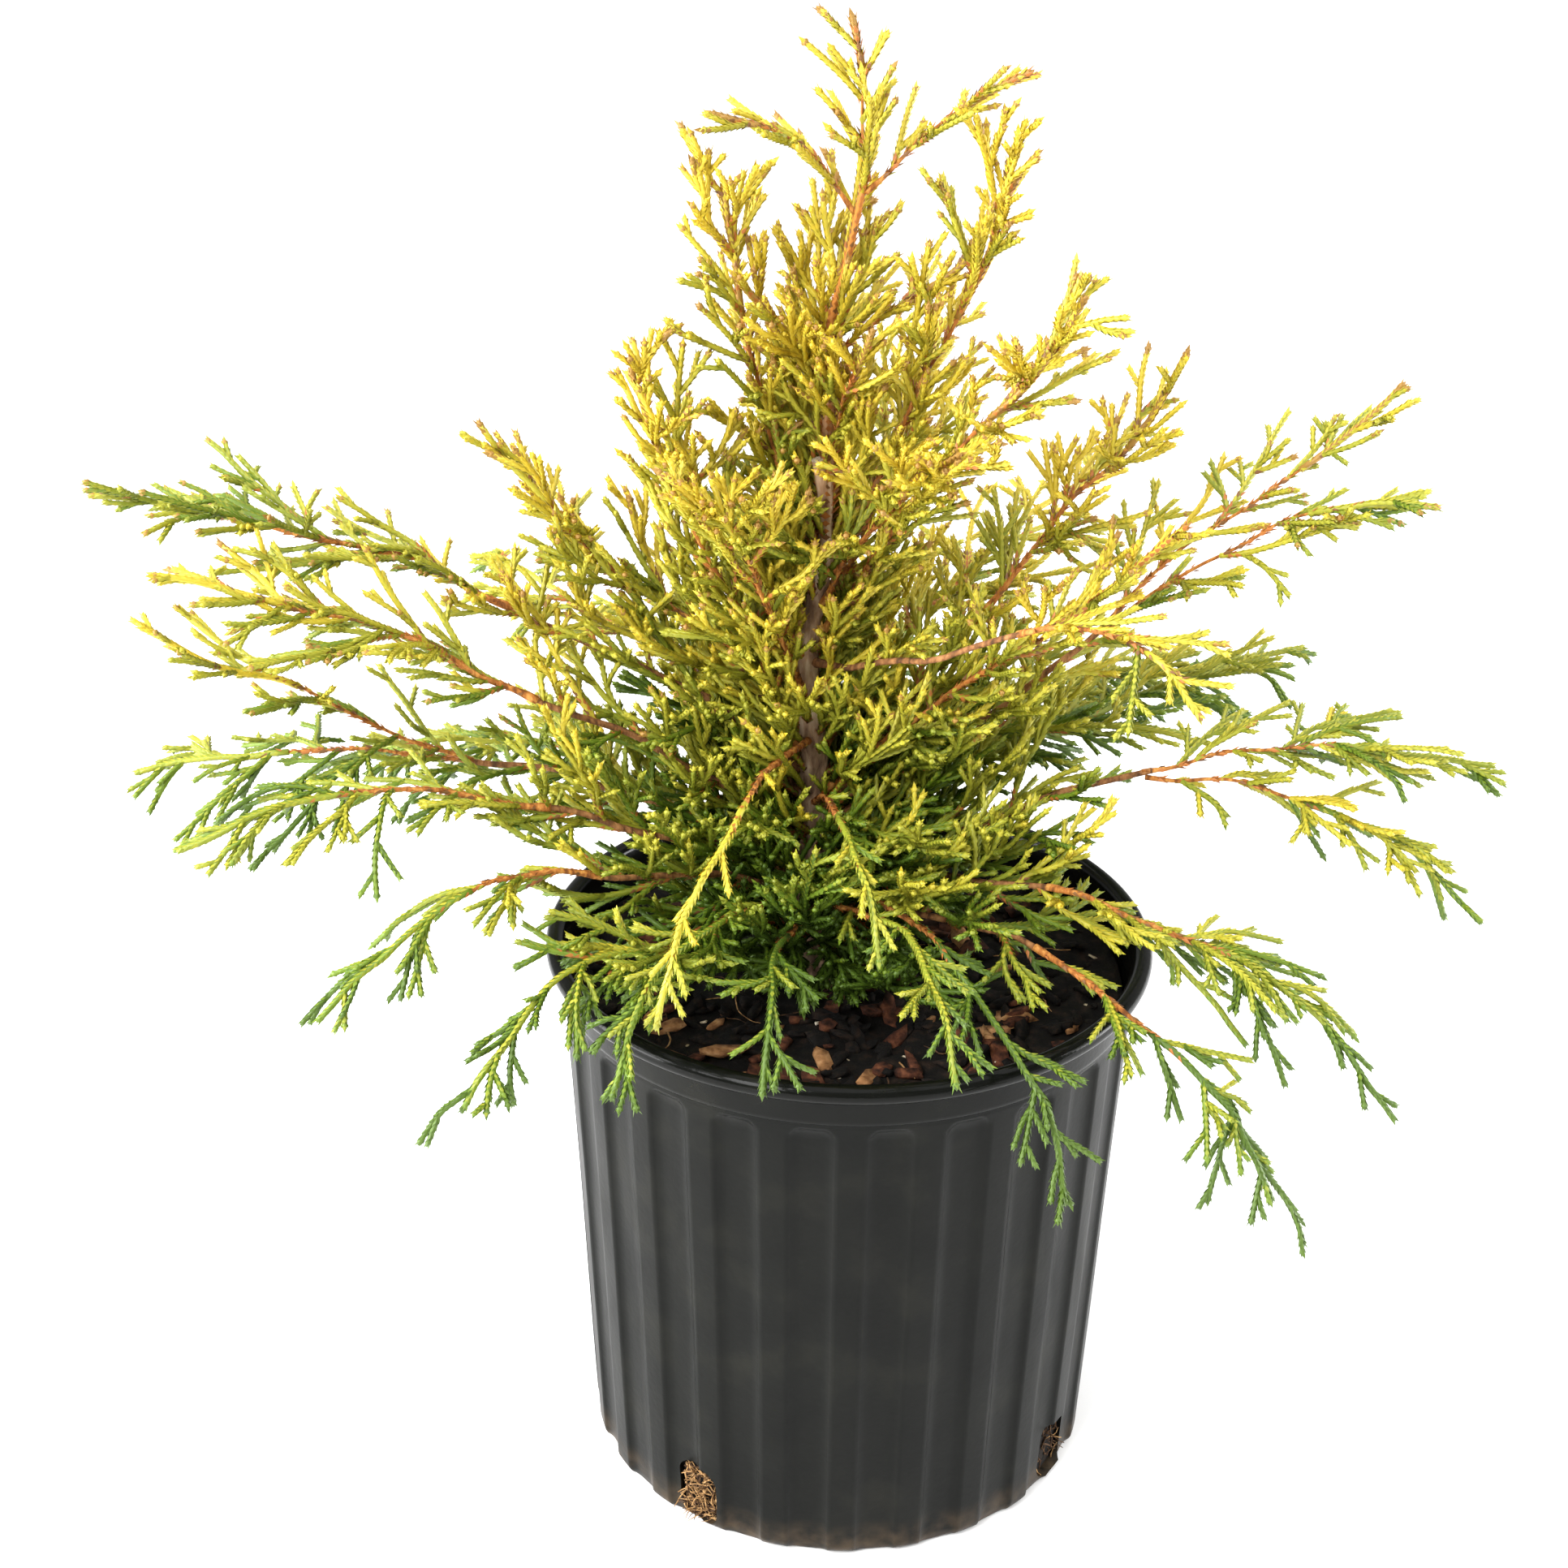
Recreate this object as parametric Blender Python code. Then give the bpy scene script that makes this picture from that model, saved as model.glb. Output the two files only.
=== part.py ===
"""A potted sawara cypress of the threadleaf kind, in a fluted nursery pot.

Metres, +Z up. The origin is the middle of the pot's flat underside, and the plant's front faces -Y.
A branch leaves the trunk as a bough and goes on as the stem of a mass of foliage, whose twigs grow
from it by a seeded rule and stay nearer to that stem than to any other.
"""
import math
import random
from collections import namedtuple

import bmesh
import bpy
from mathutils import Matrix, Vector
from mathutils.kdtree import KDTree

GAP = 0.0003
DOWN = Vector((0, 0, -1))

# The pot
RIM_RADIUS = 0.114
POT_HEIGHT = 0.2185
BODY_TOP_RADIUS = 0.1075
BODY_FOOT_RADIUS = 0.098
FOOT_ROUND = 0.005
FLUTES = 24
FLUTE_DEPTH = 0.0022
FLUTE_TOP = 0.200
FLUTE_MOUTH = 0.60
FLUTE_BOTTOM = 0.40
FLUTE_END = 0.005
BAND_STEP = 0.002
BAND_PROUD = 0.0012
BAND_SPREAD = 0.0006
WALL = 0.0013
FLOOR = 0.003
ROLL = 0.0036
ROLL_ANGLES = (-60, -15, 35, 90, 145)
ROLL_NECK = 0.0008
INNER_LIP = 0.0012

# The drain holes, rounded slots across the pot's lower corner
DRAIN_ANGLES = (56, 146, 236, 329)
DRAIN_WIDTH = 0.018
DRAIN_HEIGHT = 0.026
DRAIN_DEPTH = 0.034
DRAIN_CORNER = 0.36
DRAIN_LIFT = 0.58
DRAIN_TILT = 18

# The potting mix
SOIL_LEVEL = 0.1995
SOIL_BUMP = 0.0022
SOIL_SIDES = 24
SOIL_EDGE = 0.004
SOIL_RINGS = (0.97, 0.75, 0.50, 0.25)
TRUNK_PLOT = 0.022

# The trunk: places along its middle line, with heights above the soil, from its cut to its top fork
TRUNK_LINE = (
    (-0.013, 0.000, GAP),
    (-0.015, -0.001, 0.063),
    (-0.016, 0.001, 0.133),
    (-0.014, 0.002, 0.193),
    (-0.009, 0.002, 0.248),
    (-0.003, 0.000, 0.305),
)
TRUNK_FOOT_RADIUS = 0.0062
TRUNK_TOP_RADIUS = 0.0017
FLARE = 0.0032
FLARE_HEIGHT = 0.012
TRUNK_SIDES = 8
TRUNK_SPANS = 9

# Branches: height of the root on the trunk, compass angle (0 is right and 270 the front), slope at
# the root, then reach from the pot's axis, height and slope of the tip, and the share that is bough.
# Heights are above the soil.
Branch = namedtuple("Branch", "root azimuth rise reach height dip share")
BRANCHES = {
    "left_high": Branch(0.088, 180, 38, 0.268, 0.188, 4, 0.45),
    "left_spray": Branch(0.065, 192, 34, 0.242, 0.178, 14, 0.45),
    "left_middle": Branch(0.049, 177, 22, 0.268, 0.071, -24, 0.50),
    "left_low": Branch(0.043, 197, 28, 0.242, 0.088, -25, 0.45),
    "left_skirt": Branch(0.035, 208, 30, 0.205, 0.037, -55, 0.45),
    "left_drape": Branch(0.022, 223, 34, 0.178, 0.018, -60, 0),
    "left_shoulder": Branch(0.105, 172, 52, 0.138, 0.208, 55, 0),
    "left_upright": Branch(0.097, 194, 70, 0.079, 0.241, 76, 0),
    "right_high": Branch(0.062, 6, 38, 0.190, 0.227, 42, 0.50),
    "right_shoulder": Branch(0.080, 336, 50, 0.118, 0.201, 45, 0),
    "right_back": Branch(0.051, 26, 32, 0.195, 0.099, 5, 0),
    "right_middle": Branch(0.045, 357, 24, 0.228, 0.097, -12, 0.50),
    "right_skirt": Branch(0.033, 334, 32, 0.188, 0.023, -45, 0.45),
    "right_drape": Branch(0.023, 320, 38, 0.189, -0.019, -72, 0.45),
    "front_right_drape": Branch(0.038, 299, 36, 0.150, -0.013, -75, 0),
    "right_brown": Branch(0.129, 310, 10, 0.162, 0.169, -45, 0.55),
    "front_left_drape": Branch(0.030, 241, 38, 0.163, 0.037, -60, 0),
    "front_left_whip": Branch(0.099, 243, 12, 0.140, 0.051, -88, 0),
    "front_low_left": Branch(0.023, 256, 40, 0.132, 0.031, -62, 0),
    "front_low_right": Branch(0.029, 284, 40, 0.150, 0.043, -60, 0),
    "front_high": Branch(0.075, 274, 40, 0.110, 0.069, -70, 0),
    "front_upper_left": Branch(0.121, 232, 55, 0.086, 0.213, 40, 0),
    "front_upper_right": Branch(0.153, 292, 62, 0.078, 0.233, 35, 0),
    "top_left": Branch(0.293, 178, 60, 0.050, 0.324, 5, 0),
    "top": Branch(0.305, 185, 80, 0.008, 0.356, 88, 0),
    "top_right": Branch(0.300, 0, 50, 0.050, 0.339, 25, 0),
    "crown_left": Branch(0.175, 182, 66, 0.048, 0.301, 85, 0),
    "crown_right": Branch(0.165, 350, 66, 0.052, 0.307, 66, 0),
    "crown_right_front": Branch(0.141, 326, 62, 0.083, 0.277, 60, 0),
    "leader_left": Branch(0.232, 195, 60, 0.046, 0.272, 40, 0),
    "leader_right": Branch(0.244, 14, 55, 0.036, 0.278, 45, 0),
    "leader_front": Branch(0.212, 274, 58, 0.036, 0.262, 50, 0),
    "leader_back": Branch(0.222, 95, 58, 0.046, 0.268, 45, 0),
    "right_upright": Branch(0.073, 2, 58, 0.112, 0.245, 60, 0.45),
    "back_right_low": Branch(0.039, 44, 30, 0.200, 0.061, -30, 0),
    "back_right": Branch(0.093, 57, 42, 0.185, 0.148, 10, 0),
    "back_low": Branch(0.029, 84, 32, 0.205, 0.053, -35, 0.45),
    "back": Branch(0.087, 100, 45, 0.190, 0.128, 0, 0),
    "back_upper": Branch(0.139, 70, 60, 0.095, 0.228, 45, 0),
    "back_left": Branch(0.071, 134, 36, 0.215, 0.103, -10, 0.45),
    "back_left_low": Branch(0.034, 152, 30, 0.215, 0.043, -35, 0),
}
# Forks: a second stem from the tip of a bough, with compass angle, reach, height and slope of its tip
Fork = namedtuple("Fork", "bough azimuth reach height dip")
FORKS = {
    "left_fork": Fork("left_middle", 186, 0.250, 0.148, 32),
    "right_outer": Fork("right_high", 352, 0.196, 0.203, -8),
    "right_low": Fork("right_middle", 354, 0.220, 0.043, -70),
}

# Limbs
LIMB_STEP = 0.018
LIMB_ROOT_RADIUS = 0.0030
LIMB_TIP_RADIUS = 0.0015
LONG_LIMB = 0.26
LINE_STEPS = 40
SWAY = 0.012
SWAY_TURNS = (1.2, 2.0)
FORK_SPREAD = 0.35
BOUGH_SIDES = 5
STEM_SIDES = 4

# Twigs: side shoots of a stem, and the pointed shoots that stand out of them
TWIG_ROOT = 0.0014
TWIG_BELLY = 0.0021
TWIG_TIP = 0.0012
TWIG_SIDES = 3
TWIG_LEG = 0.020
TWIG_BENDS = 3
TWIG_END = 0.003
SHORTEST = 0.009
LENGTH_LUCK = (0.75, 1.15)
PITCH_LUCK = (0.85, 1.15)
ANGLE_LUCK = 7
SIDE_PITCH = 0.0205
SIDE_FIRST = 0.009
SIDE_ANGLE = 42
SIDE_TURN = 30
SIDE_LONGEST = 0.058
SIDE_SHORTEST = 0.009
SIDE_SHARE = 0.62
SIDE_SWELL = (0.55, 0.06)
SHORT_STEM = 0.06
SHORT_STEM_SIDES = 6
INNER_BARE = 0.45
SHOOT_ROOT = 0.0015
SHOOT_PITCH = 0.0225
SHOOT_FIRST = 0.008
SHOOT_ANGLE = 40
SHOOT_TURN = 25
SHOOT_SHORTEST = 0.005
SHOOT_SHARE = 0.36

# How side shoots turn down or up, by the height and the slope of their branch's tip
HANG_SLOPE = -50
HANG_SHARE = 0.5
WEEP = 11.0
CLIMB = -4.0
WEEP_TOP = 0.22
WEEP_FOOT = 0.06

# The room round a twig's middle line
OWN_SPACE = 0.0048
WOOD_ROOM = 0.0026
POT_ROOM = 0.003
SAMPLE_STEP = 0.003
TEST_STEP = 0.0025

# Colours of the foliage: golden where the light reaches, greener below
GOLD_HEIGHT = 0.20
LIME_HEIGHT = 0.07


def material(name, colour, roughness):
    """A plain surface of one colour."""
    surface = bpy.data.materials.new(name)
    surface.use_nodes = True
    shader = surface.node_tree.nodes["Principled BSDF"]
    shader.inputs["Base Color"].default_value = (*colour, 1)
    shader.inputs["Roughness"].default_value = roughness
    shader.inputs["Metallic"].default_value = 0
    surface.diffuse_color = (*colour, 1)
    return surface


def place_mesh(name, shape, surface, smooth_degrees=None):
    """Makes a named object of a bmesh in the scene."""
    mesh = bpy.data.meshes.new(name)
    bmesh.ops.recalc_face_normals(shape, faces=shape.faces)
    shape.to_mesh(mesh)
    shape.free()
    if smooth_degrees is not None:
        mesh.shade_smooth()
        mesh.set_sharp_from_angle(angle=math.radians(smooth_degrees))
    mesh.materials.append(surface)
    item = bpy.data.objects.new(name, mesh)
    bpy.context.scene.collection.objects.link(item)
    return item


def skin_rings(shape, rings):
    """Joins rings of points into a closed tube with flat ends.

    A ring may have half the points of the one before it, and the last may be a single point.
    """
    loops = [[shape.verts.new(point) for point in ring] for ring in rings]
    for low, high in zip(loops, loops[1:]):
        for index in range(len(low)):
            after = (index + 1) % len(low)
            near, far = (number * len(high) // len(low) for number in (index, after))
            corners = [low[index], low[after], high[far], high[near]]
            shape.faces.new(dict.fromkeys(corners))
    shape.faces.new(loops[0][::-1])
    if len(loops[-1]) > 2:
        shape.faces.new(loops[-1])


def wall_radius(height):
    """The body's outer radius on a land between two flutes."""
    share = (height - FOOT_ROUND) / (FLUTE_TOP - FOOT_ROUND)
    return BODY_FOOT_RADIUS + (BODY_TOP_RADIUS - BODY_FOOT_RADIUS) * share


def inner_radius(height):
    """The smooth inner wall's radius, clear of the flutes."""
    return wall_radius(height) - FLUTE_DEPTH - WALL


def fluted_ring(radius, height, depth):
    """A ring whose radius steps in by depth across each flute, or a plain ring where depth is None."""
    pitch = math.tau / FLUTES
    mouth, bottom = FLUTE_MOUTH / 2, FLUTE_BOTTOM / 2
    corners = ((-mouth, 0), (-bottom, depth), (bottom, depth), (mouth, 0))
    if depth is None:
        corners = ((-mouth, 0), (bottom, 0))
    points = []
    for flute in range(FLUTES):
        middle = -math.pi / 2 + (flute + 0.5) * pitch
        for share, inset in corners:
            angle = middle + share * pitch
            reach = radius - inset
            points.append((reach * math.cos(angle), reach * math.sin(angle), height))
    return points


def pot_rings():
    """Up the outside, over the rolled rim and down the inner wall: radius, height and flute depth."""
    corner = math.radians(45)
    flat = BODY_FOOT_RADIUS - FOOT_ROUND
    band = BODY_TOP_RADIUS + BAND_PROUD
    roll_foot = POT_HEIGHT - 2 * ROLL
    flute_end = FLUTE_TOP - FLUTE_END
    outside = [
        (flat, 0, 0),
        (flat + FOOT_ROUND * math.sin(corner), FOOT_ROUND * (1 - math.cos(corner)), FLUTE_DEPTH * 0.4),
        (BODY_FOOT_RADIUS, FOOT_ROUND, FLUTE_DEPTH),
        (wall_radius(flute_end), flute_end, FLUTE_DEPTH),
        (BODY_TOP_RADIUS, FLUTE_TOP, 0),
        (band, FLUTE_TOP + BAND_STEP, None),
        (band + BAND_SPREAD, roll_foot - ROLL_NECK, None),
    ]
    roll = []
    for degrees in ROLL_ANGLES:
        angle = math.radians(degrees)
        radius = RIM_RADIUS - ROLL * (1 - math.cos(angle))
        roll.append((radius, POT_HEIGHT - ROLL * (1 - math.sin(angle)), None))
    inside = [
        (inner_radius(roll_foot) + INNER_LIP, roll_foot, None),
        (inner_radius(FOOT_ROUND), FOOT_ROUND, None),
        (flat, FLOOR, None),
    ]
    return outside + roll + inside


def drain_cutter(angle):
    """A rounded block across the pot's lower corner."""
    shape = bmesh.new()
    size = Matrix.Diagonal((DRAIN_DEPTH, DRAIN_WIDTH, DRAIN_HEIGHT, 1))
    bmesh.ops.create_cube(shape, size=1, matrix=size)
    long_edges = [edge for edge in shape.edges if edge.calc_length() > DRAIN_DEPTH - GAP]
    corner = DRAIN_WIDTH * DRAIN_CORNER
    bmesh.ops.bevel(shape, geom=long_edges, offset=corner, segments=2, affect="EDGES", profile=0.5)
    tilt = Matrix.Rotation(math.radians(DRAIN_TILT), 4, "Y")
    away = Matrix.Translation((BODY_FOOT_RADIUS, 0, DRAIN_HEIGHT * DRAIN_LIFT))
    turn = Matrix.Rotation(math.radians(angle), 4, "Z")
    bmesh.ops.transform(shape, matrix=turn @ away @ tilt, verts=shape.verts)
    return shape


def make_pot(surface):
    """The fluted pot with its rolled rim and four drain holes at the lower corner."""
    shape = bmesh.new()
    skin_rings(shape, [fluted_ring(*ring) for ring in pot_rings()])
    pot = place_mesh("pot", shape, surface, 35)
    for number, angle in enumerate(DRAIN_ANGLES):
        cutter = place_mesh(f"drain_cutter_{number + 1}", drain_cutter(angle), surface)
        cutter.hide_render = True
        cutter.display_type = "WIRE"
        cut = pot.modifiers.new(f"drain_{number + 1}", "BOOLEAN")
        cut.operation = "DIFFERENCE"
        cut.solver = "EXACT"
        cut.object = cutter
    return pot


def make_soil(surface):
    """The potting mix: it fills the pot to an uneven top, level where the trunk stands."""
    dice = random.Random("potting mix")
    shape = bmesh.new()
    trunk = Vector(TRUNK_LINE[0][:2])

    def ring(radius, height, bump):
        """A level ring, or one that bumps up and down except in the trunk's plot."""
        points = []
        for side in range(SOIL_SIDES):
            angle = math.tau * side / SOIL_SIDES
            place = Vector((radius * math.cos(angle), radius * math.sin(angle)))
            rise = bump * dice.uniform(-1, 0.8) if (place - trunk).length > TRUNK_PLOT else 0
            points.append((*place, height + rise))
        return points

    edge = inner_radius(SOIL_LEVEL) - GAP
    rings = [
        ring(BODY_FOOT_RADIUS - FOOT_ROUND - 5 * GAP, FLOOR + GAP, 0),
        ring(inner_radius(FOOT_ROUND) - 2 * GAP, FOOT_ROUND + 3 * GAP, 0),
        ring(edge, SOIL_LEVEL - SOIL_EDGE, 0),
    ]
    for share in SOIL_RINGS:
        rings.append(ring(edge * share, SOIL_LEVEL, SOIL_BUMP))
    skin_rings(shape, rings)
    return place_mesh("soil", shape, surface)


def mix(low, high, share):
    """The value a share of the way from low to high."""
    return low + (high - low) * share


class Path:
    """A line through points in space, measured by its length."""

    def __init__(self, points):
        self.points = [Vector(point) for point in points]
        self.places = [0.0]
        for low, high in zip(self.points, self.points[1:]):
            self.places.append(self.places[-1] + (high - low).length)
        self.length = self.places[-1]

    def leg(self, place):
        """The leg that a place falls on, and its share along that leg."""
        for index in range(len(self.points) - 1):
            if place <= self.places[index + 1] or index == len(self.points) - 2:
                return index, (place - self.places[index]) / (self.places[index + 1] - self.places[index])

    def at(self, place):
        """The point at a place."""
        index, share = self.leg(place)
        return self.points[index].lerp(self.points[index + 1], share)

    def heading(self, place):
        """The direction of the leg at a place."""
        index, _ = self.leg(place)
        return (self.points[index + 1] - self.points[index]).normalized()

    def stretch(self, start, end, step):
        """The part between two places, in even steps."""
        steps = max(1, round((end - start) / step))
        return Path([self.at(mix(start, end, number / steps)) for number in range(steps + 1)])


TRUNK = Path([(x, y, SOIL_LEVEL + rise) for x, y, rise in TRUNK_LINE])
TRUNK_TOP = TRUNK.points[-1]


def trunk_radius(height):
    """The taper from foot to top, with the root flare."""
    share = (height - SOIL_LEVEL) / (TRUNK_TOP.z - SOIL_LEVEL)
    flare = FLARE * math.exp(-(height - SOIL_LEVEL) / FLARE_HEIGHT)
    return mix(TRUNK_FOOT_RADIUS, TRUNK_TOP_RADIUS, min(1, max(0, share))) + flare


def trunk_reach(angle, height):
    """How far the trunk's flat sides reach from its middle at a compass angle."""
    side = math.tau / TRUNK_SIDES
    return trunk_radius(height) * math.cos(side / 2) / math.cos(angle % side - side / 2)


def trunk_at(height):
    """The trunk's middle at a height."""
    for low, high in zip(TRUNK.points, TRUNK.points[1:]):
        if height <= high.z or high is TRUNK_TOP:
            return low.lerp(high, (height - low.z) / (high.z - low.z))


def spot(azimuth, reach, rise):
    """A place at a compass angle and a reach from the pot's axis, so high above the soil."""
    angle = math.radians(azimuth)
    return Vector((reach * math.cos(angle), reach * math.sin(angle), SOIL_LEVEL + rise))


def sloped(heading, degrees):
    """A direction of length 1 along a compass heading, at a slope."""
    slope = math.radians(degrees)
    return Vector((math.cos(heading) * math.cos(slope), math.sin(heading) * math.cos(slope), math.sin(slope)))


def bent_line(root, tip, leave, arrive, name):
    """A smooth line from root to tip that leaves and arrives along two directions, with a slight sway."""
    dice = random.Random(name + " sway")
    chord = (tip - root).length
    aside = leave.cross(DOWN)
    aside = aside.normalized() if aside.length > 0.05 else Vector((1, 0, 0))
    turns = dice.uniform(*SWAY_TURNS)
    phase = dice.uniform(0, math.tau)
    points = []
    for number in range(LINE_STEPS + 1):
        t = number / LINE_STEPS
        point = (root * (2 * t ** 3 - 3 * t ** 2 + 1) + leave * (chord * (t ** 3 - 2 * t ** 2 + t))
                 + tip * (3 * t ** 2 - 2 * t ** 3) + arrive * (chord * (t ** 3 - t ** 2)))
        sway = SWAY * chord * math.sin(math.pi * t) ** 2 * math.sin(math.tau * turns * t + phase)
        points.append(point + aside * sway)
    return Path(points)


def root_radius(length):
    """A limb's radius at its root, thicker on a longer limb."""
    return LIMB_ROOT_RADIUS * math.sqrt(min(1, length / LONG_LIMB))


def branch_line(name):
    """A branch's whole middle line, from the trunk's side to its tip."""
    row = BRANCHES[name]
    tip = spot(row.azimuth, row.reach, row.height)
    middle = trunk_at(SOIL_LEVEL + row.root)
    heading = math.atan2(tip.y - middle.y, tip.x - middle.x)
    out = Vector((math.cos(heading), math.sin(heading), 0))
    leave = sloped(heading, row.rise)
    thick = root_radius((tip - middle).length)
    if middle.z < TRUNK_TOP.z:
        back = thick * math.sin(math.radians(row.rise))
        root = middle + out * (trunk_reach(heading, middle.z) + GAP + back)
    else:
        root = middle + Vector((0, 0, 2 * GAP))
    return bent_line(root, tip, leave, sloped(heading, row.dip), name)


def fork_line(name, bough_end, bough_heading):
    """A second stem's middle line from a bough's tip, beside the first stem."""
    row = FORKS[name]
    tip = spot(row.azimuth, row.reach, row.height)
    away = tip - bough_end
    aside = (away - bough_heading * away.dot(bough_heading)).normalized()
    root = bough_end + bough_heading * GAP + aside * (2 * LIMB_TIP_RADIUS + GAP)
    heading = math.atan2(tip.y - root.y, tip.x - root.x)
    leave = (bough_heading + FORK_SPREAD * aside).normalized()
    return bent_line(root, tip, leave, sloped(heading, row.dip), name)


def plan_limbs():
    """Boughs and stems by name, each a path with its radius at the root and at the tip."""
    boughs, stems = {}, {}
    forked = [row.bough for row in FORKS.values()]
    for name, row in BRANCHES.items():
        line = branch_line(name)
        thick = root_radius(line.length)
        joint = line.length * row.share
        joint_radius = mix(thick, LIMB_TIP_RADIUS, row.share)
        if row.share:
            stem_radius = LIMB_TIP_RADIUS if name in forked else joint_radius
            boughs[name] = (line.stretch(0, joint, LIMB_STEP), thick, joint_radius)
            stems[name] = (line.stretch(joint + GAP, line.length, LIMB_STEP), stem_radius, LIMB_TIP_RADIUS)
        else:
            stems[name] = (line.stretch(0, line.length, LIMB_STEP), thick, LIMB_TIP_RADIUS)
    for name, row in FORKS.items():
        bough = boughs[row.bough][0]
        line = fork_line(name, bough.points[-1], bough.heading(bough.length))
        stems[name] = (line.stretch(0, line.length, LIMB_STEP), LIMB_TIP_RADIUS, LIMB_TIP_RADIUS)
    return boughs, stems


class Space:
    """Tells how near a point is to one stem and to all the others."""

    def __init__(self, name, boughs, stems):
        own = self.samples([stems[name][0]])
        others = self.samples([limb[0] for key, limb in stems.items() if key != name]
                              + [limb[0] for limb in boughs.values()])
        self.own = self.tree(own)
        self.others = self.tree(others)

    @staticmethod
    def samples(paths):
        """Points all along the paths."""
        points = []
        for path in paths:
            count = max(2, round(path.length / SAMPLE_STEP))
            points += [path.at(path.length * number / count) for number in range(count + 1)]
        return points

    @staticmethod
    def tree(points):
        """A search tree of points."""
        search = KDTree(len(points))
        for index, point in enumerate(points):
            search.insert(point, index)
        search.balance()
        return search

    def holds(self, point):
        """True where a twig may pass: in this mass's space, clear of the trunk, the pot and the soil."""
        if self.own.find(point)[2] + OWN_SPACE > self.others.find(point)[2]:
            return False
        return clear_of_trunk(point) and clear_of_pot(point)


def clear_of_trunk(point):
    """True well outside the trunk or above its top."""
    if point.z > TRUNK_TOP.z + WOOD_ROOM:
        return True
    return (point - trunk_at(point.z)).length > trunk_radius(point.z) + WOOD_ROOM


def clear_of_pot(point):
    """True over the rim, outside the pot, or inside it and over the soil."""
    reach = point.xy.length
    over_rim = point.z > POT_HEIGHT + POT_ROOM
    outside = reach > RIM_RADIUS + POT_ROOM
    over_soil = point.z > SOIL_LEVEL + SOIL_BUMP + POT_ROOM
    return over_rim or outside or (over_soil and reach < RIM_RADIUS - 2 * ROLL - POT_ROOM)


def shoot_path(start, heading, length, pull):
    """A shoot that turns towards the pull as it grows."""
    points = [start]
    leg = length / TWIG_BENDS
    for _ in range(TWIG_BENDS):
        heading = (heading + pull * leg).normalized()
        points.append(points[-1] + heading * leg)
    return Path(points)


def kept_length(path, space):
    """How far along a path the space holds it."""
    place = 3 * TEST_STEP
    while place < path.length:
        if not space.holds(path.at(place)):
            return place - 2 * TEST_STEP
        place += TEST_STEP
    return path.length if space.holds(path.points[-1]) else path.length - TEST_STEP


def side_shoots(parent, pitch, angle, first, lengths, pull, space, dice, turn):
    """Shoots by turns to the left and the right of a parent path.

    lengths gives a shoot's length for a place on the parent, and turn is how far the pairs may
    roll about it. A shoot that the space doesn't hold is cut short, or left out where little remains.
    """
    found = []
    place = first
    hand = dice.choice((-1, 1))
    while place < parent.length - TWIG_END:
        length = lengths(place) * dice.uniform(*LENGTH_LUCK)
        spread = math.radians(angle + dice.uniform(-ANGLE_LUCK, ANGLE_LUCK))
        roll = dice.uniform(-turn, turn)
        heading = parent.heading(place)
        aside = heading.cross(DOWN)
        aside = aside.normalized() if aside.length > 0.2 else heading.cross(Vector((0, 1, 0))).normalized()
        aside.rotate(Matrix.Rotation(math.radians(roll), 3, heading))
        lead = heading * math.cos(spread) + aside * (hand * math.sin(spread))
        path = shoot_path(parent.at(place), lead, length, pull)
        kept = kept_length(path, space)
        if kept >= SHORTEST:
            found.append(path.stretch(0, kept, TWIG_LEG))
        hand = -hand
        place += pitch * dice.uniform(*PITCH_LUCK)
    return found


def weep_of(height, dip):
    """How strongly side shoots turn down: low ones hang, high ones climb."""
    if dip < HANG_SLOPE:
        return WEEP
    return mix(CLIMB, WEEP, min(1, max(0, (WEEP_TOP - height) / (WEEP_TOP - WEEP_FOOT))))


def grow_mass(name, stems, boughs):
    """The twigs of a mass: side shoots of its stem, and their own shoots."""
    stem = stems[name][0]
    row = BRANCHES.get(name) or FORKS[name]
    space = Space(name, boughs, stems)
    dice = random.Random(name)
    pull = DOWN * weep_of(row.height, row.dip)
    most = SIDE_LONGEST * (HANG_SHARE if row.dip < HANG_SLOPE else 1)

    on_trunk = name in BRANCHES and not row.share
    bare = INNER_BARE * max(0, stem.length - SHORT_STEM) if on_trunk else 0
    pitch = min(SIDE_PITCH, stem.length / SHORT_STEM_SIDES)
    swell_start, swell_length = SIDE_SWELL

    def side_length(place):
        """Longest a little way out, then shorter towards the stem's tip."""
        swell = min(1, swell_start + (place - bare) / swell_length)
        return min(most, SIDE_SHORTEST + SIDE_SHARE * (stem.length - place)) * swell

    first = max(SIDE_FIRST, bare)
    sides = side_shoots(stem, pitch, SIDE_ANGLE, first, side_length, pull, space, dice, SIDE_TURN)
    shoots = []
    for side in sides:
        def shoot_length(place):
            """Shorter towards the side shoot's tip."""
            return SHOOT_SHORTEST + SHOOT_SHARE * (side.length - place)

        shoots += side_shoots(
            side, SHOOT_PITCH, SHOOT_ANGLE, SHOOT_FIRST, shoot_length, pull, space, dice, SHOOT_TURN)
    return sides, shoots


def taper(root, tip):
    """A radius that goes evenly from root to tip."""
    return lambda share: mix(root, tip, share)


def spindle(root, belly, tip):
    """A radius that swells to the middle and falls to the tip."""
    return lambda share: mix(root, belly, 2 * share) if share < 0.5 else mix(belly, tip, 2 * share - 1)


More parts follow.
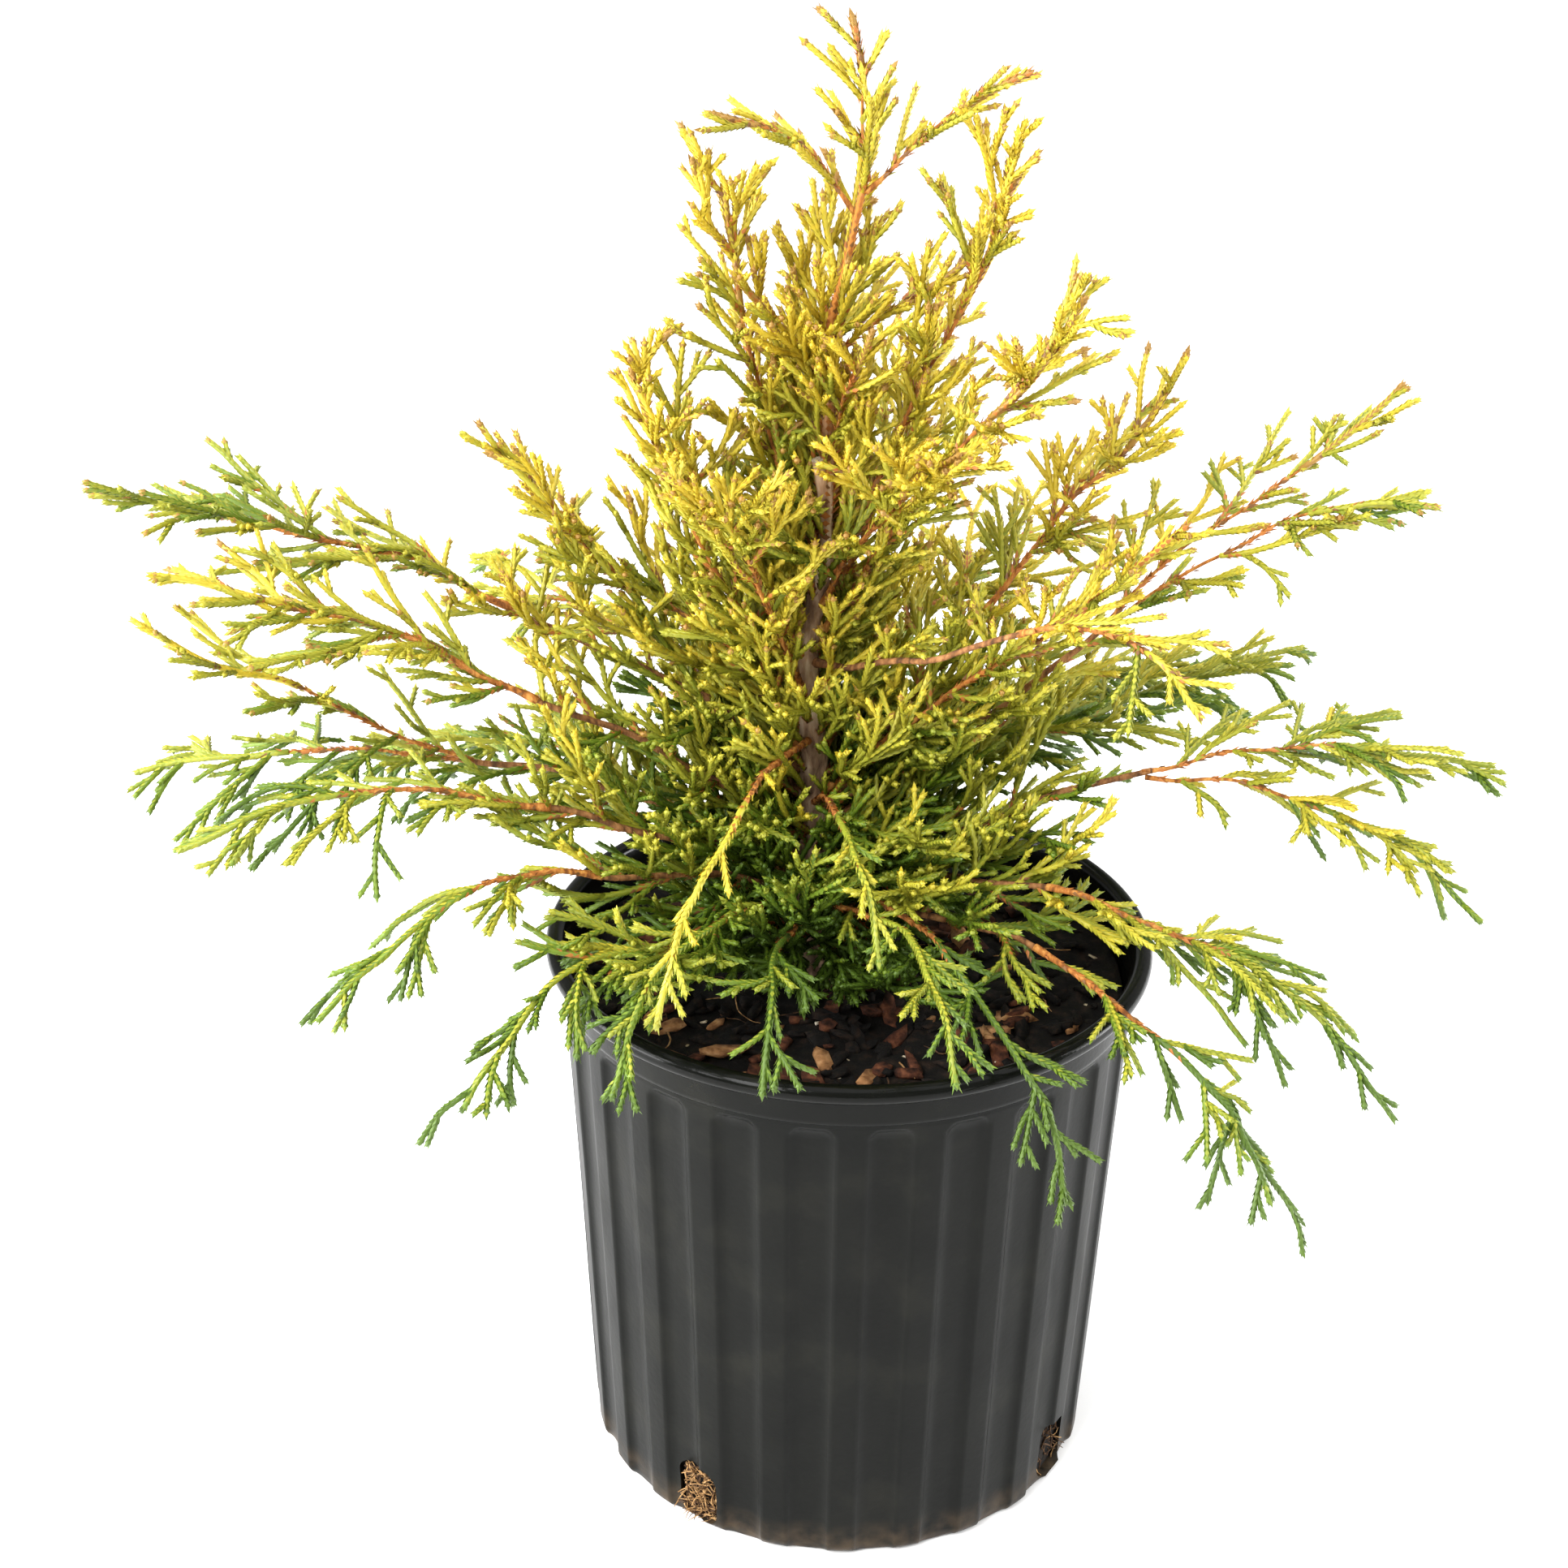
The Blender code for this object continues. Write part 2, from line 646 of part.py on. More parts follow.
def tube(path, radius_at, sides, spin=math.pi / 2):
    """A tube along a path, pointed where its last radius is 0, with an edge on top unless it is spun."""
    shape = bmesh.new()
    side = path.heading(0).cross(DOWN).normalized()
    rings = []
    for index, point in enumerate(path.points):
        back = path.points[max(index - 1, 0)]
        ahead = path.points[min(index + 1, len(path.points) - 1)]
        heading = (ahead - back).normalized()
        side = (side - heading * side.dot(heading)).normalized()
        across = heading.cross(side)
        radius = radius_at(path.places[index] / path.length)
        if radius == 0:
            rings.append([point])
            continue
        rings.append([point + side * (radius * math.cos(angle)) + across * (radius * math.sin(angle))
                      for angle in (spin + math.tau * number / sides for number in range(sides))])
    skin_rings(shape, rings)
    return shape


def outer_skin(shape):
    """Keeps the largest connected piece, so that scraps and sealed hollows go."""
    left = set(shape.verts)
    pieces = []
    while left:
        front = [left.pop()]
        piece = list(front)
        while front:
            for edge in front.pop().link_edges:
                for vertex in edge.verts:
                    if vertex in left:
                        left.remove(vertex)
                        front.append(vertex)
                        piece.append(vertex)
        pieces.append(piece)
    pieces.sort(key=len)
    spare = [vertex for piece in pieces[:-1] for vertex in piece]
    bmesh.ops.delete(shape, geom=spare, context="VERTS")


def is_closed(shape):
    """True where every edge has two faces."""
    return all(len(edge.link_faces) == 2 for edge in shape.edges)


def fuse(name, stem_shape, twig_shapes, surface):
    """One object of a stem and its twigs, joined by a Boolean union."""
    mass = place_mesh(name, stem_shape, surface)
    twigs = bpy.data.collections.new(name + "_twigs")
    bpy.context.scene.collection.children.link(twigs)
    for number, shape in enumerate(twig_shapes):
        mesh = bpy.data.meshes.new(f"{name}_twig_{number + 1}")
        bmesh.ops.recalc_face_normals(shape, faces=shape.faces)
        shape.to_mesh(mesh)
        shape.free()
        twigs.objects.link(bpy.data.objects.new(mesh.name, mesh))
    union = mass.modifiers.new("twigs", "BOOLEAN")
    union.operation = "UNION"
    union.operand_type = "COLLECTION"
    union.collection = twigs
    for solver in ("EXACT", "MANIFOLD"):
        union.solver = solver
        graph = bpy.context.evaluated_depsgraph_get()
        joined = bpy.data.meshes.new_from_object(mass.evaluated_get(graph))
        shape = bmesh.new()
        shape.from_mesh(joined)
        outer_skin(shape)
        closed = is_closed(shape)
        shape.to_mesh(joined)
        shape.free()
        if closed:
            break
    mass.modifiers.clear()
    mass.data = joined
    for item in list(twigs.objects):
        bpy.data.objects.remove(item)
    bpy.data.collections.remove(twigs)
    return mass


def make_trunk(surface):
    """The trunk with its root flare, from the flat cut at the soil to the fork at its top."""
    shape = bmesh.new()
    foot = TRUNK.points[0].z
    levels = [foot, foot + FLARE_HEIGHT / 3, foot + FLARE_HEIGHT, foot + 2 * FLARE_HEIGHT]
    levels += [mix(levels[3], TRUNK_TOP.z, number / TRUNK_SPANS) for number in range(1, TRUNK_SPANS + 1)]
    rings = []
    for level in levels:
        middle = trunk_at(level)
        radius = trunk_radius(level)
        rings.append([middle + Vector((radius * math.cos(angle), radius * math.sin(angle), 0))
                      for angle in (math.tau * number / TRUNK_SIDES for number in range(TRUNK_SIDES))])
    skin_rings(shape, rings)
    return place_mesh("trunk", shape, surface, 50)


def make_mass(name, stems, boughs, surface):
    """A mass of foliage: three-sided twigs fused on their stem."""
    dice = random.Random(name + " turn")
    path, root, tip = stems[name]
    sides, shoots = grow_mass(name, stems, boughs)
    twigs = []
    for side in sides:
        thickness = spindle(TWIG_ROOT, TWIG_BELLY, TWIG_TIP)
        twigs.append(tube(side, thickness, TWIG_SIDES, dice.uniform(0, math.tau)))
    for shoot in shoots:
        twigs.append(tube(shoot, taper(SHOOT_ROOT, 0), TWIG_SIDES, dice.uniform(0, math.tau)))
    return fuse("foliage_" + name, tube(path, taper(root, tip), STEM_SIDES), twigs, surface)


def clear_scene():
    """Removes every object of the scene."""
    for item in list(bpy.data.objects):
        bpy.data.objects.remove(item, do_unlink=True)


def main():
    """Models the pot, the soil, the trunk, the boughs and the masses of foliage."""
    clear_scene()
    plastic = material("black_plastic", (0.018, 0.019, 0.020), 0.42)
    potting_mix = material("potting_mix", (0.030, 0.018, 0.012), 0.95)
    bark = material("bark", (0.20, 0.095, 0.045), 0.80)
    gold = material("golden_foliage", (0.62, 0.50, 0.06), 0.60)
    lime = material("lime_foliage", (0.34, 0.38, 0.06), 0.60)
    green = material("green_foliage", (0.13, 0.24, 0.06), 0.60)
    make_pot(plastic)
    make_soil(potting_mix)
    make_trunk(bark)
    boughs, stems = plan_limbs()
    for name, (path, root, tip) in boughs.items():
        place_mesh("bough_" + name, tube(path, taper(root, tip), BOUGH_SIDES), bark, 50)
    for name in stems:
        height = (BRANCHES.get(name) or FORKS[name]).height
        tint = gold if height > GOLD_HEIGHT else lime if height > LIME_HEIGHT else green
        make_mass(name, stems, boughs, tint)


main()
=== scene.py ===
"""The looks of a potted sawara cypress of the threadleaf kind, in a fluted nursery pot.

Metres, +Z up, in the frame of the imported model. Limbs and coarse twigs grow by the same seeded rule
as the solids, and go on to finer twigs, each clad in pairs of scale leaves.
"""
import math
import random
from collections import defaultdict, namedtuple

import bmesh
import bpy
import numpy as np
from mathutils import Matrix, Vector, noise
from mathutils.kdtree import KDTree


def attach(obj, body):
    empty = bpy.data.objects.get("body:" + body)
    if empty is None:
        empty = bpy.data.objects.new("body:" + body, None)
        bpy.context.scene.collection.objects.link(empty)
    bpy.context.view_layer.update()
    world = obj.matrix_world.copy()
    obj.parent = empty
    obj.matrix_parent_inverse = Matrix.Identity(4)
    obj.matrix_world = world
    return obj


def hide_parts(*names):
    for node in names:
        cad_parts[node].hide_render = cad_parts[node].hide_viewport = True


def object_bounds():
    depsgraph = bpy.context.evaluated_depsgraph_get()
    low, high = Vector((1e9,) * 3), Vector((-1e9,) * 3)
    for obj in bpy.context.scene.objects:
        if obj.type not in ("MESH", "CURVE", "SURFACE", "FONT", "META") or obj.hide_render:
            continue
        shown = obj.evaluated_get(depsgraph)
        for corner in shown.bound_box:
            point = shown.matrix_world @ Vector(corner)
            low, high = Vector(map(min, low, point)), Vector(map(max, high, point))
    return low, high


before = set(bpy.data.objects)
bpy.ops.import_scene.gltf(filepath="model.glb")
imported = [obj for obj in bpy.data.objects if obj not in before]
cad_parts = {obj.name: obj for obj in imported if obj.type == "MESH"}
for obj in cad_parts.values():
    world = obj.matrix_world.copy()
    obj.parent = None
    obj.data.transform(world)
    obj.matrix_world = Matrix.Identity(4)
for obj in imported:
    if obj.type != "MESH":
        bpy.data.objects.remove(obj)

CAD_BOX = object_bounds()
GAP = 0.0003
DOWN = Vector((0, 0, -1))
UP = np.array((0, 0, 1.0))
UPRIGHT = 0.985

# The camera: its place as seen from the middle of the view, and its lens
CAMERA_ELEVATION = 26.4
CAMERA_ROLL = 0.76
CAMERA_DISTANCE = 1.0431
CAMERA_LOOK = (-0.0252, 0, 0.2786)
CAMERA_LENS = 65.22

# The pot
RIM_RADIUS = 0.114
POT_HEIGHT = 0.2185
BODY_TOP_RADIUS = 0.1075
BODY_FOOT_RADIUS = 0.098
FOOT_ROUND = 0.005
FLUTES = 24
FLUTE_DEPTH = 0.0022
FLUTE_TOP = 0.200
BAND_PROUD = 0.0012
BAND_SPREAD = 0.0006
WALL = 0.0013
FLOOR = 0.003
ROLL = 0.0036
ROLL_NECK = 0.0008
DRAIN_ANGLES = (56, 146, 236, 329)
DRAIN_WIDTH = 0.018
DRAIN_HEIGHT = 0.026
DRAIN_DEPTH = 0.034
DRAIN_CORNER = 0.36
DRAIN_LIFT = 0.58
DRAIN_TILT = 18
DRAIN_UNEVEN = 0.0012
DRAIN_RAGGED = 160

# The potting mix
SOIL_LEVEL = 0.1995
SOIL_BUMP = 0.0022

# The trunk: places along its middle line, with heights above the soil, from its foot to its top fork
TRUNK_LINE = (
    (-0.013, 0.000, GAP),
    (-0.015, -0.001, 0.063),
    (-0.016, 0.001, 0.133),
    (-0.014, 0.002, 0.193),
    (-0.009, 0.002, 0.248),
    (-0.003, 0.000, 0.305),
)
TRUNK_FOOT_RADIUS = 0.0062
TRUNK_TOP_RADIUS = 0.0017
FLARE = 0.0032
FLARE_HEIGHT = 0.012
TRUNK_SIDES = 8

# Branches: height of the root on the trunk, compass angle (0 is right and 270 the front), slope at
# the root, then reach from the pot's axis, height and slope of the tip, and the share that is bough.
# Heights are above the soil.
Branch = namedtuple("Branch", "root azimuth rise reach height dip share")
BRANCHES = {
    "left_high": Branch(0.088, 180, 38, 0.268, 0.188, 4, 0.45),
    "left_spray": Branch(0.065, 192, 34, 0.242, 0.178, 14, 0.45),
    "left_middle": Branch(0.049, 177, 22, 0.268, 0.071, -24, 0.50),
    "left_low": Branch(0.043, 197, 28, 0.242, 0.088, -25, 0.45),
    "left_skirt": Branch(0.035, 208, 30, 0.205, 0.037, -55, 0.45),
    "left_drape": Branch(0.022, 223, 34, 0.178, 0.018, -60, 0),
    "left_shoulder": Branch(0.105, 172, 52, 0.138, 0.208, 55, 0),
    "left_upright": Branch(0.097, 194, 70, 0.079, 0.241, 76, 0),
    "right_high": Branch(0.062, 6, 38, 0.190, 0.227, 42, 0.50),
    "right_shoulder": Branch(0.080, 336, 50, 0.118, 0.201, 45, 0),
    "right_back": Branch(0.051, 26, 32, 0.195, 0.099, 5, 0),
    "right_middle": Branch(0.045, 357, 24, 0.228, 0.097, -12, 0.50),
    "right_skirt": Branch(0.033, 334, 32, 0.188, 0.023, -45, 0.45),
    "right_drape": Branch(0.023, 320, 38, 0.189, -0.019, -72, 0.45),
    "front_right_drape": Branch(0.038, 299, 36, 0.150, -0.013, -75, 0),
    "right_brown": Branch(0.129, 310, 10, 0.162, 0.169, -45, 0.55),
    "front_left_drape": Branch(0.030, 241, 38, 0.163, 0.037, -60, 0),
    "front_left_whip": Branch(0.099, 243, 12, 0.140, 0.051, -88, 0),
    "front_low_left": Branch(0.023, 256, 40, 0.132, 0.031, -62, 0),
    "front_low_right": Branch(0.029, 284, 40, 0.150, 0.043, -60, 0),
    "front_high": Branch(0.075, 274, 40, 0.110, 0.069, -70, 0),
    "front_upper_left": Branch(0.121, 232, 55, 0.086, 0.213, 40, 0),
    "front_upper_right": Branch(0.153, 292, 62, 0.078, 0.233, 35, 0),
    "top_left": Branch(0.293, 178, 60, 0.050, 0.324, 5, 0),
    "top": Branch(0.305, 185, 80, 0.008, 0.356, 88, 0),
    "top_right": Branch(0.300, 0, 50, 0.050, 0.339, 25, 0),
    "crown_left": Branch(0.175, 182, 66, 0.048, 0.301, 85, 0),
    "crown_right": Branch(0.165, 350, 66, 0.052, 0.307, 66, 0),
    "crown_right_front": Branch(0.141, 326, 62, 0.083, 0.277, 60, 0),
    "leader_left": Branch(0.232, 195, 60, 0.046, 0.272, 40, 0),
    "leader_right": Branch(0.244, 14, 55, 0.036, 0.278, 45, 0),
    "leader_front": Branch(0.212, 274, 58, 0.036, 0.262, 50, 0),
    "leader_back": Branch(0.222, 95, 58, 0.046, 0.268, 45, 0),
    "right_upright": Branch(0.073, 2, 58, 0.112, 0.245, 60, 0.45),
    "back_right_low": Branch(0.039, 44, 30, 0.200, 0.061, -30, 0),
    "back_right": Branch(0.093, 57, 42, 0.185, 0.148, 10, 0),
    "back_low": Branch(0.029, 84, 32, 0.205, 0.053, -35, 0.45),
    "back": Branch(0.087, 100, 45, 0.190, 0.128, 0, 0),
    "back_upper": Branch(0.139, 70, 60, 0.095, 0.228, 45, 0),
    "back_left": Branch(0.071, 134, 36, 0.215, 0.103, -10, 0.45),
    "back_left_low": Branch(0.034, 152, 30, 0.215, 0.043, -35, 0),
}
# Forks: a second stem from the tip of a bough, with compass angle, reach, height and slope of its tip
Fork = namedtuple("Fork", "bough azimuth reach height dip")
FORKS = {
    "left_fork": Fork("left_middle", 186, 0.250, 0.148, 32),
    "right_outer": Fork("right_high", 352, 0.196, 0.203, -8),
    "right_low": Fork("right_middle", 354, 0.220, 0.043, -70),
}

# Limbs
LIMB_STEP = 0.018
LIMB_ROOT_RADIUS = 0.0030
LIMB_TIP_RADIUS = 0.0015
LONG_LIMB = 0.26
LINE_STEPS = 40
SWAY = 0.012
SWAY_TURNS = (1.2, 2.0)
FORK_SPREAD = 0.35
UPRIGHT_LINE = 0.05

# Coarse twigs, as in the solids
TWIG_LEG = 0.020
TWIG_BENDS = 3
TWIG_END = 0.003
SHORTEST = 0.009
LENGTH_LUCK = (0.75, 1.15)
PITCH_LUCK = (0.85, 1.15)
ANGLE_LUCK = 7
UPRIGHT_TWIG = 0.2
SIDE_PITCH = 0.0205
SIDE_FIRST = 0.009
SIDE_ANGLE = 42
SIDE_TURN = 30
SIDE_LONGEST = 0.058
SIDE_SHORTEST = 0.009
SIDE_SHARE = 0.62
SWELL_START = 0.55
SWELL_LENGTH = 0.06
SHORT_STEM = 0.06
SHORT_STEM_SIDES = 6
INNER_BARE = 0.45
SHOOT_PITCH = 0.0225
SHOOT_FIRST = 0.008
SHOOT_ANGLE = 40
SHOOT_TURN = 25
SHOOT_SHORTEST = 0.005
SHOOT_SHARE = 0.36
HANG_SLOPE = -50
HANG_SHARE = 0.5
WEEP = 11.0
CLIMB = -4.0
WEEP_TOP = 0.22
WEEP_FOOT = 0.06
OWN_SPACE = 0.0048
WOOD_ROOM = 0.0026
POT_ROOM = 0.003
SAMPLE_STEP = 0.003
TEST_STEP = 0.0025

# Finer twigs between the coarse ones
FINE_LEG = 0.007
FINE_SPACE = 0.0
FINE_PITCH = 0.0195
FINE_SHARE = 0.90
FINE_SWELL = 0.5
WOODY_MOST = 0.45
WOODY_HEIGHT = 0.1
FINE_TURN = 55
FINE_BARE = 0.30
FINE_END = 0.075
TAIL = 0.055
SHORT_BRANCH = 0.08
AIRY_HEIGHT = 0.29
WANDER_BENDS = 5
ARC = 8.0
WAVES = ((21.0, 0.0052), (52.0, 0.0013))
WAVE_CALM = 0.05
WAVE_SEED = 11
WAVE_TOP = 0.555
WAVE_TOP_SPAN = 0.07
TWIGLET_FIRST = 0.007
TWIGLET_SHORTEST = 0.005
TWIGLET_SHARE = 0.44
DANGLE_START = 0.35
DANGLE_FIRST = 0.006
DANGLE_LUCK = (-0.6, 0.8)
DANGLE_LENGTH = (0.024, 0.052)
DANGLE_PULL = 26.0
DANGLE_WEEP = 6.0
LOBED = 0.014
LOBE_FIRST = 0.0045
LOBE_LENGTH = (0.004, 0.0085)

# Inner branchlets, which fill the crown between the limbs and stay near the coarse twigs
BRANCHLET_PITCH = 0.0105
BRANCHLET_REACH = 0.105
BRANCHLET_AXIS = Vector((-0.018, 0.0))
BRANCHLET_LENGTH = (0.045, 0.095)
BRANCHLET_CLIMB = 15.0
BRANCHLET_FIRST = 0.012
BRANCHLET_WOOD = (0.15, 0.5)
BRANCHLET_SIDE = 0.034
BRANCHLET_SIDE_FIRST = 0.008
BRANCHLET_SIDE_END = 0.009
BRANCHLET_SIDE_SHARE = 0.5
HANGING_CLIMB = 0.3
HIGH_SIZE = 0.5
CROWN_HEIGHT = 0.33
OUTER_SIZE = 0.45
INNER_TINT = 0.5
NEAR_LIMBS = 0.028
NEAR_TRUNK = 0.032
REACH_SPARE = 0.002
TRUNK_SHOOTS = 190
TRUNK_SHOOT_SPAN = (0.010, 0.300)
TRUNK_SHOOT_CROWD = 1.35
TRUNK_SHOOT_SLOPE = (8, 70)
TRUNK_SHOOT_SIZE = (1.1, 0.45)
TRUNK_SHOOT_SHORTEST = 0.025
TRUNK_SHOOT_ROOT = 0.8
SLOPE_LUCK = 12
TRUNK_THIN = 0.72
GOLDEN_ANGLE = 137.5
SKIRT_SHOOTS = 34
SKIRT_SPAN = (0.008, 0.030)
SKIRT_SLOPE = (-4, 30)
SKIRT_LENGTH = (0.040, 0.075)
SKIRT_WEEP = 5.0
SKIRT_TINT = -0.5

# The strip in front of the trunk that the crown leaves open
WINDOW_SPAN = (0.282, 0.405)
WINDOW_SLOPE = 0.496
WINDOW_HALF = 0.0040
WINDOW_WAVES = 75
WINDOW_UNEVEN = 2.4

# Scale leaves: spacing of the pairs, and a leaf's form in lengths and in radii of its cord
LEAF_STEP = 0.0013
FACIAL = (0.86, 1.34, 1.46)
LATERAL = (0.90, 1.46, 1.66)
LEAF_FACES = np.array([(0, 1, 3), (0, 3, 2)])
LEAF_MIDDLE = 0.45
LEAF_LIFT = 0.74
LEAF_SEAT = 0.72
BUD_FOOT = 0.5
BUD_BELLY = 0.15
BUD_TIP = 0.6
WOOD_SLIM = 0.49
CURVE_CUTS = 5
CORE_STEP = 0.0065
PIECE_LIMIT = 190000

# Branches that hang open over the rim, with few twiglets
OPEN = ("front_low_left", "front_low_right", "front_left_drape", "front_right_drape", "front_high",
        "front_left_whip", "right_brown")

# The stems that are brown nearly to their tips
BROWN_TOPS = ("top", "top_left", "top_right", "crown_right", "right_shoulder")

# Whips, which hang as threads with short side twigs
WHIPS = ("front_left_whip", "front_high")
WHIP_SHARE = 0.55

# Branches with fine twigs nearly to their ends
FULL = ("right_middle", "right_back", "right_low", "back_right_low", "left_high", "left_spray",
        "right_skirt")
FULL_END = 0.030
FULL_PITCH = 0.0092

# How far a branch's foliage is greener (below 0) or more golden than its place alone would make it
TINTS = {
    "left_high": -2.1, "left_spray": -1.5, "left_middle": -0.7, "left_fork": -0.8, "left_low": -0.2,
    "left_skirt": 0.6, "left_drape": 0.7, "left_shoulder": -0.6, "left_upright": -0.3,
    "right_high": -1.9, "right_outer": -1.8, "right_middle": -1.1, "right_back": -1.2, "right_low": 1.1,
    "right_skirt": 1.4, "right_drape": 1.5, "right_brown": 0.1, "right_shoulder": -0.5,
    "top": -1.1, "top_left": -1.1, "top_right": -1.1, "front_high": 0.9, "front_left_whip": 2.4,
    "front_low_left": -0.2, "front_low_right": -0.3, "front_left_drape": 0.1, "front_right_drape": 0.3,
    "front_upper_right": 0.3,
}


def srgb(red, green, blue):
    """A linear colour from screen values of 0 to 255."""
    return tuple((value / 255 / 12.92) if value < 11 else ((value / 255 + 0.055) / 1.055) ** 2.4
                 for value in (red, green, blue))


def screen(*rows):
    """Linear colours from rows of screen values."""
    return [srgb(*row) for row in rows]


# Leaf tones from the greenest to the most golden, and tones of woody scales and ends, in screen values
TONES = {
    "blue_green": (76, 101, 22),
    "green": (101, 124, 25),
    "olive": (130, 139, 36),
    "lime": (156, 156, 44),
    "yellow_green": (177, 170, 49),
    "yellow": (194, 177, 50),
    "gold": (205, 181, 49),
}
RUSSET, BROWN, BRONZE = "russet", "brown", "bronze"
WOODS = {RUSSET: (174, 106, 46), BROWN: (124, 84, 46), BRONZE: (156, 118, 50)}
SLOTS = {"blue_green": "green_foliage", "green": "green_foliage", "olive": "green_foliage",
         "lime": "lime_foliage", "yellow_green": "lime_foliage", "yellow": "golden_foliage",
         "gold": "golden_foliage", RUSSET: "bark", BROWN: "bark", BRONZE: "golden_foliage"}


# Lines and growth, as in the solids

def mix(low, high, share):
    """The value a share of the way from low to high."""
    return low + (high - low) * share


def held(value):
    """A value held between 0 and 1."""
    return min(1, max(0, value))


class Path:
    """A line through points in space, measured by its length."""

    def __init__(self, points):
        self.points = [Vector(point) for point in points]
        self.places = [0.0]
        for low, high in zip(self.points, self.points[1:]):
            self.places.append(self.places[-1] + (high - low).length)
        self.length = self.places[-1]

    def leg(self, place):
        """The leg that a place falls on, and its share along that leg."""
        for index in range(len(self.points) - 1):
            if place <= self.places[index + 1] or index == len(self.points) - 2:
                return index, (place - self.places[index]) / (self.places[index + 1] - self.places[index])

    def at(self, place):
        """The point at a place."""
        index, share = self.leg(place)
        return self.points[index].lerp(self.points[index + 1], share)

    def heading(self, place):
        """The direction of the leg at a place."""
        index, _ = self.leg(place)
        return (self.points[index + 1] - self.points[index]).normalized()

    def stretch(self, start, end, step):
        """The part between two places, in even steps."""
        steps = max(1, round((end - start) / step))
        return Path([self.at(mix(start, end, number / steps)) for number in range(steps + 1)])


TRUNK = Path([(x, y, SOIL_LEVEL + rise) for x, y, rise in TRUNK_LINE])
TRUNK_TOP = TRUNK.points[-1]


def trunk_radius(height):
    """The taper from foot to top, with the root flare."""
    share = (height - SOIL_LEVEL) / (TRUNK_TOP.z - SOIL_LEVEL)
    flare = FLARE * math.exp(-(height - SOIL_LEVEL) / FLARE_HEIGHT)
    return mix(TRUNK_FOOT_RADIUS, TRUNK_TOP_RADIUS, held(share)) + flare


def trunk_reach(angle, height):
    """How far the trunk's flat sides reach from its middle at a compass angle."""
    side = math.tau / TRUNK_SIDES
    return trunk_radius(height) * math.cos(side / 2) / math.cos(angle % side - side / 2)


def trunk_at(height):
    """The trunk's middle at a height."""
    for low, high in zip(TRUNK.points, TRUNK.points[1:]):
        if height <= high.z or high is TRUNK_TOP:
            return low.lerp(high, (height - low.z) / (high.z - low.z))


def spot(azimuth, reach, rise):
    """A place at a compass angle and a reach from the pot's axis, so high above the soil."""
    angle = math.radians(azimuth)
    return Vector((reach * math.cos(angle), reach * math.sin(angle), SOIL_LEVEL + rise))


def sloped(heading, degrees):
    """A direction of length 1 along a compass heading, at a slope."""
    slope = math.radians(degrees)
    flat = math.cos(slope)
    return Vector((math.cos(heading) * flat, math.sin(heading) * flat, math.sin(slope)))


def bent_line(root, tip, leave, arrive, name):
    """A smooth line from root to tip that leaves and arrives along two directions, with a slight sway."""
    dice = random.Random(name + " sway")
    chord = (tip - root).length
    aside = leave.cross(DOWN)
    aside = aside.normalized() if aside.length > UPRIGHT_LINE else Vector((1, 0, 0))
    turns = dice.uniform(*SWAY_TURNS)
    phase = dice.uniform(0, math.tau)
    points = []
    for number in range(LINE_STEPS + 1):
        t = number / LINE_STEPS
        point = (root * (2 * t ** 3 - 3 * t ** 2 + 1) + leave * (chord * (t ** 3 - 2 * t ** 2 + t))
                 + tip * (3 * t ** 2 - 2 * t ** 3) + arrive * (chord * (t ** 3 - t ** 2)))
        sway = SWAY * chord * math.sin(math.pi * t) ** 2 * math.sin(math.tau * turns * t + phase)
        points.append(point + aside * sway)
    return Path(points)


def root_radius(length):
    """A limb's radius at its root, thicker on a longer limb."""
    return LIMB_ROOT_RADIUS * math.sqrt(min(1, length / LONG_LIMB))


def branch_line(name):
    """A branch's whole middle line, from the trunk's side to its tip."""
    row = BRANCHES[name]
    tip = spot(row.azimuth, row.reach, row.height)
    middle = trunk_at(SOIL_LEVEL + row.root)
    heading = math.atan2(tip.y - middle.y, tip.x - middle.x)
    out = Vector((math.cos(heading), math.sin(heading), 0))
    leave = sloped(heading, row.rise)
    thick = root_radius((tip - middle).length)
    if middle.z < TRUNK_TOP.z:
        back = thick * math.sin(math.radians(row.rise))
        root = middle + out * (trunk_reach(heading, middle.z) + GAP + back)
    else:
        root = middle + Vector((0, 0, 2 * GAP))
    return bent_line(root, tip, leave, sloped(heading, row.dip), name)


def fork_line(name, bough_end, bough_heading):
    """A second stem's middle line from a bough's tip, beside the first stem."""
    row = FORKS[name]
    tip = spot(row.azimuth, row.reach, row.height)
    away = tip - bough_end
    aside = (away - bough_heading * away.dot(bough_heading)).normalized()
    root = bough_end + bough_heading * GAP + aside * (2 * LIMB_TIP_RADIUS + GAP)
    heading = math.atan2(tip.y - root.y, tip.x - root.x)
    leave = (bough_heading + FORK_SPREAD * aside).normalized()
    return bent_line(root, tip, leave, sloped(heading, row.dip), name)


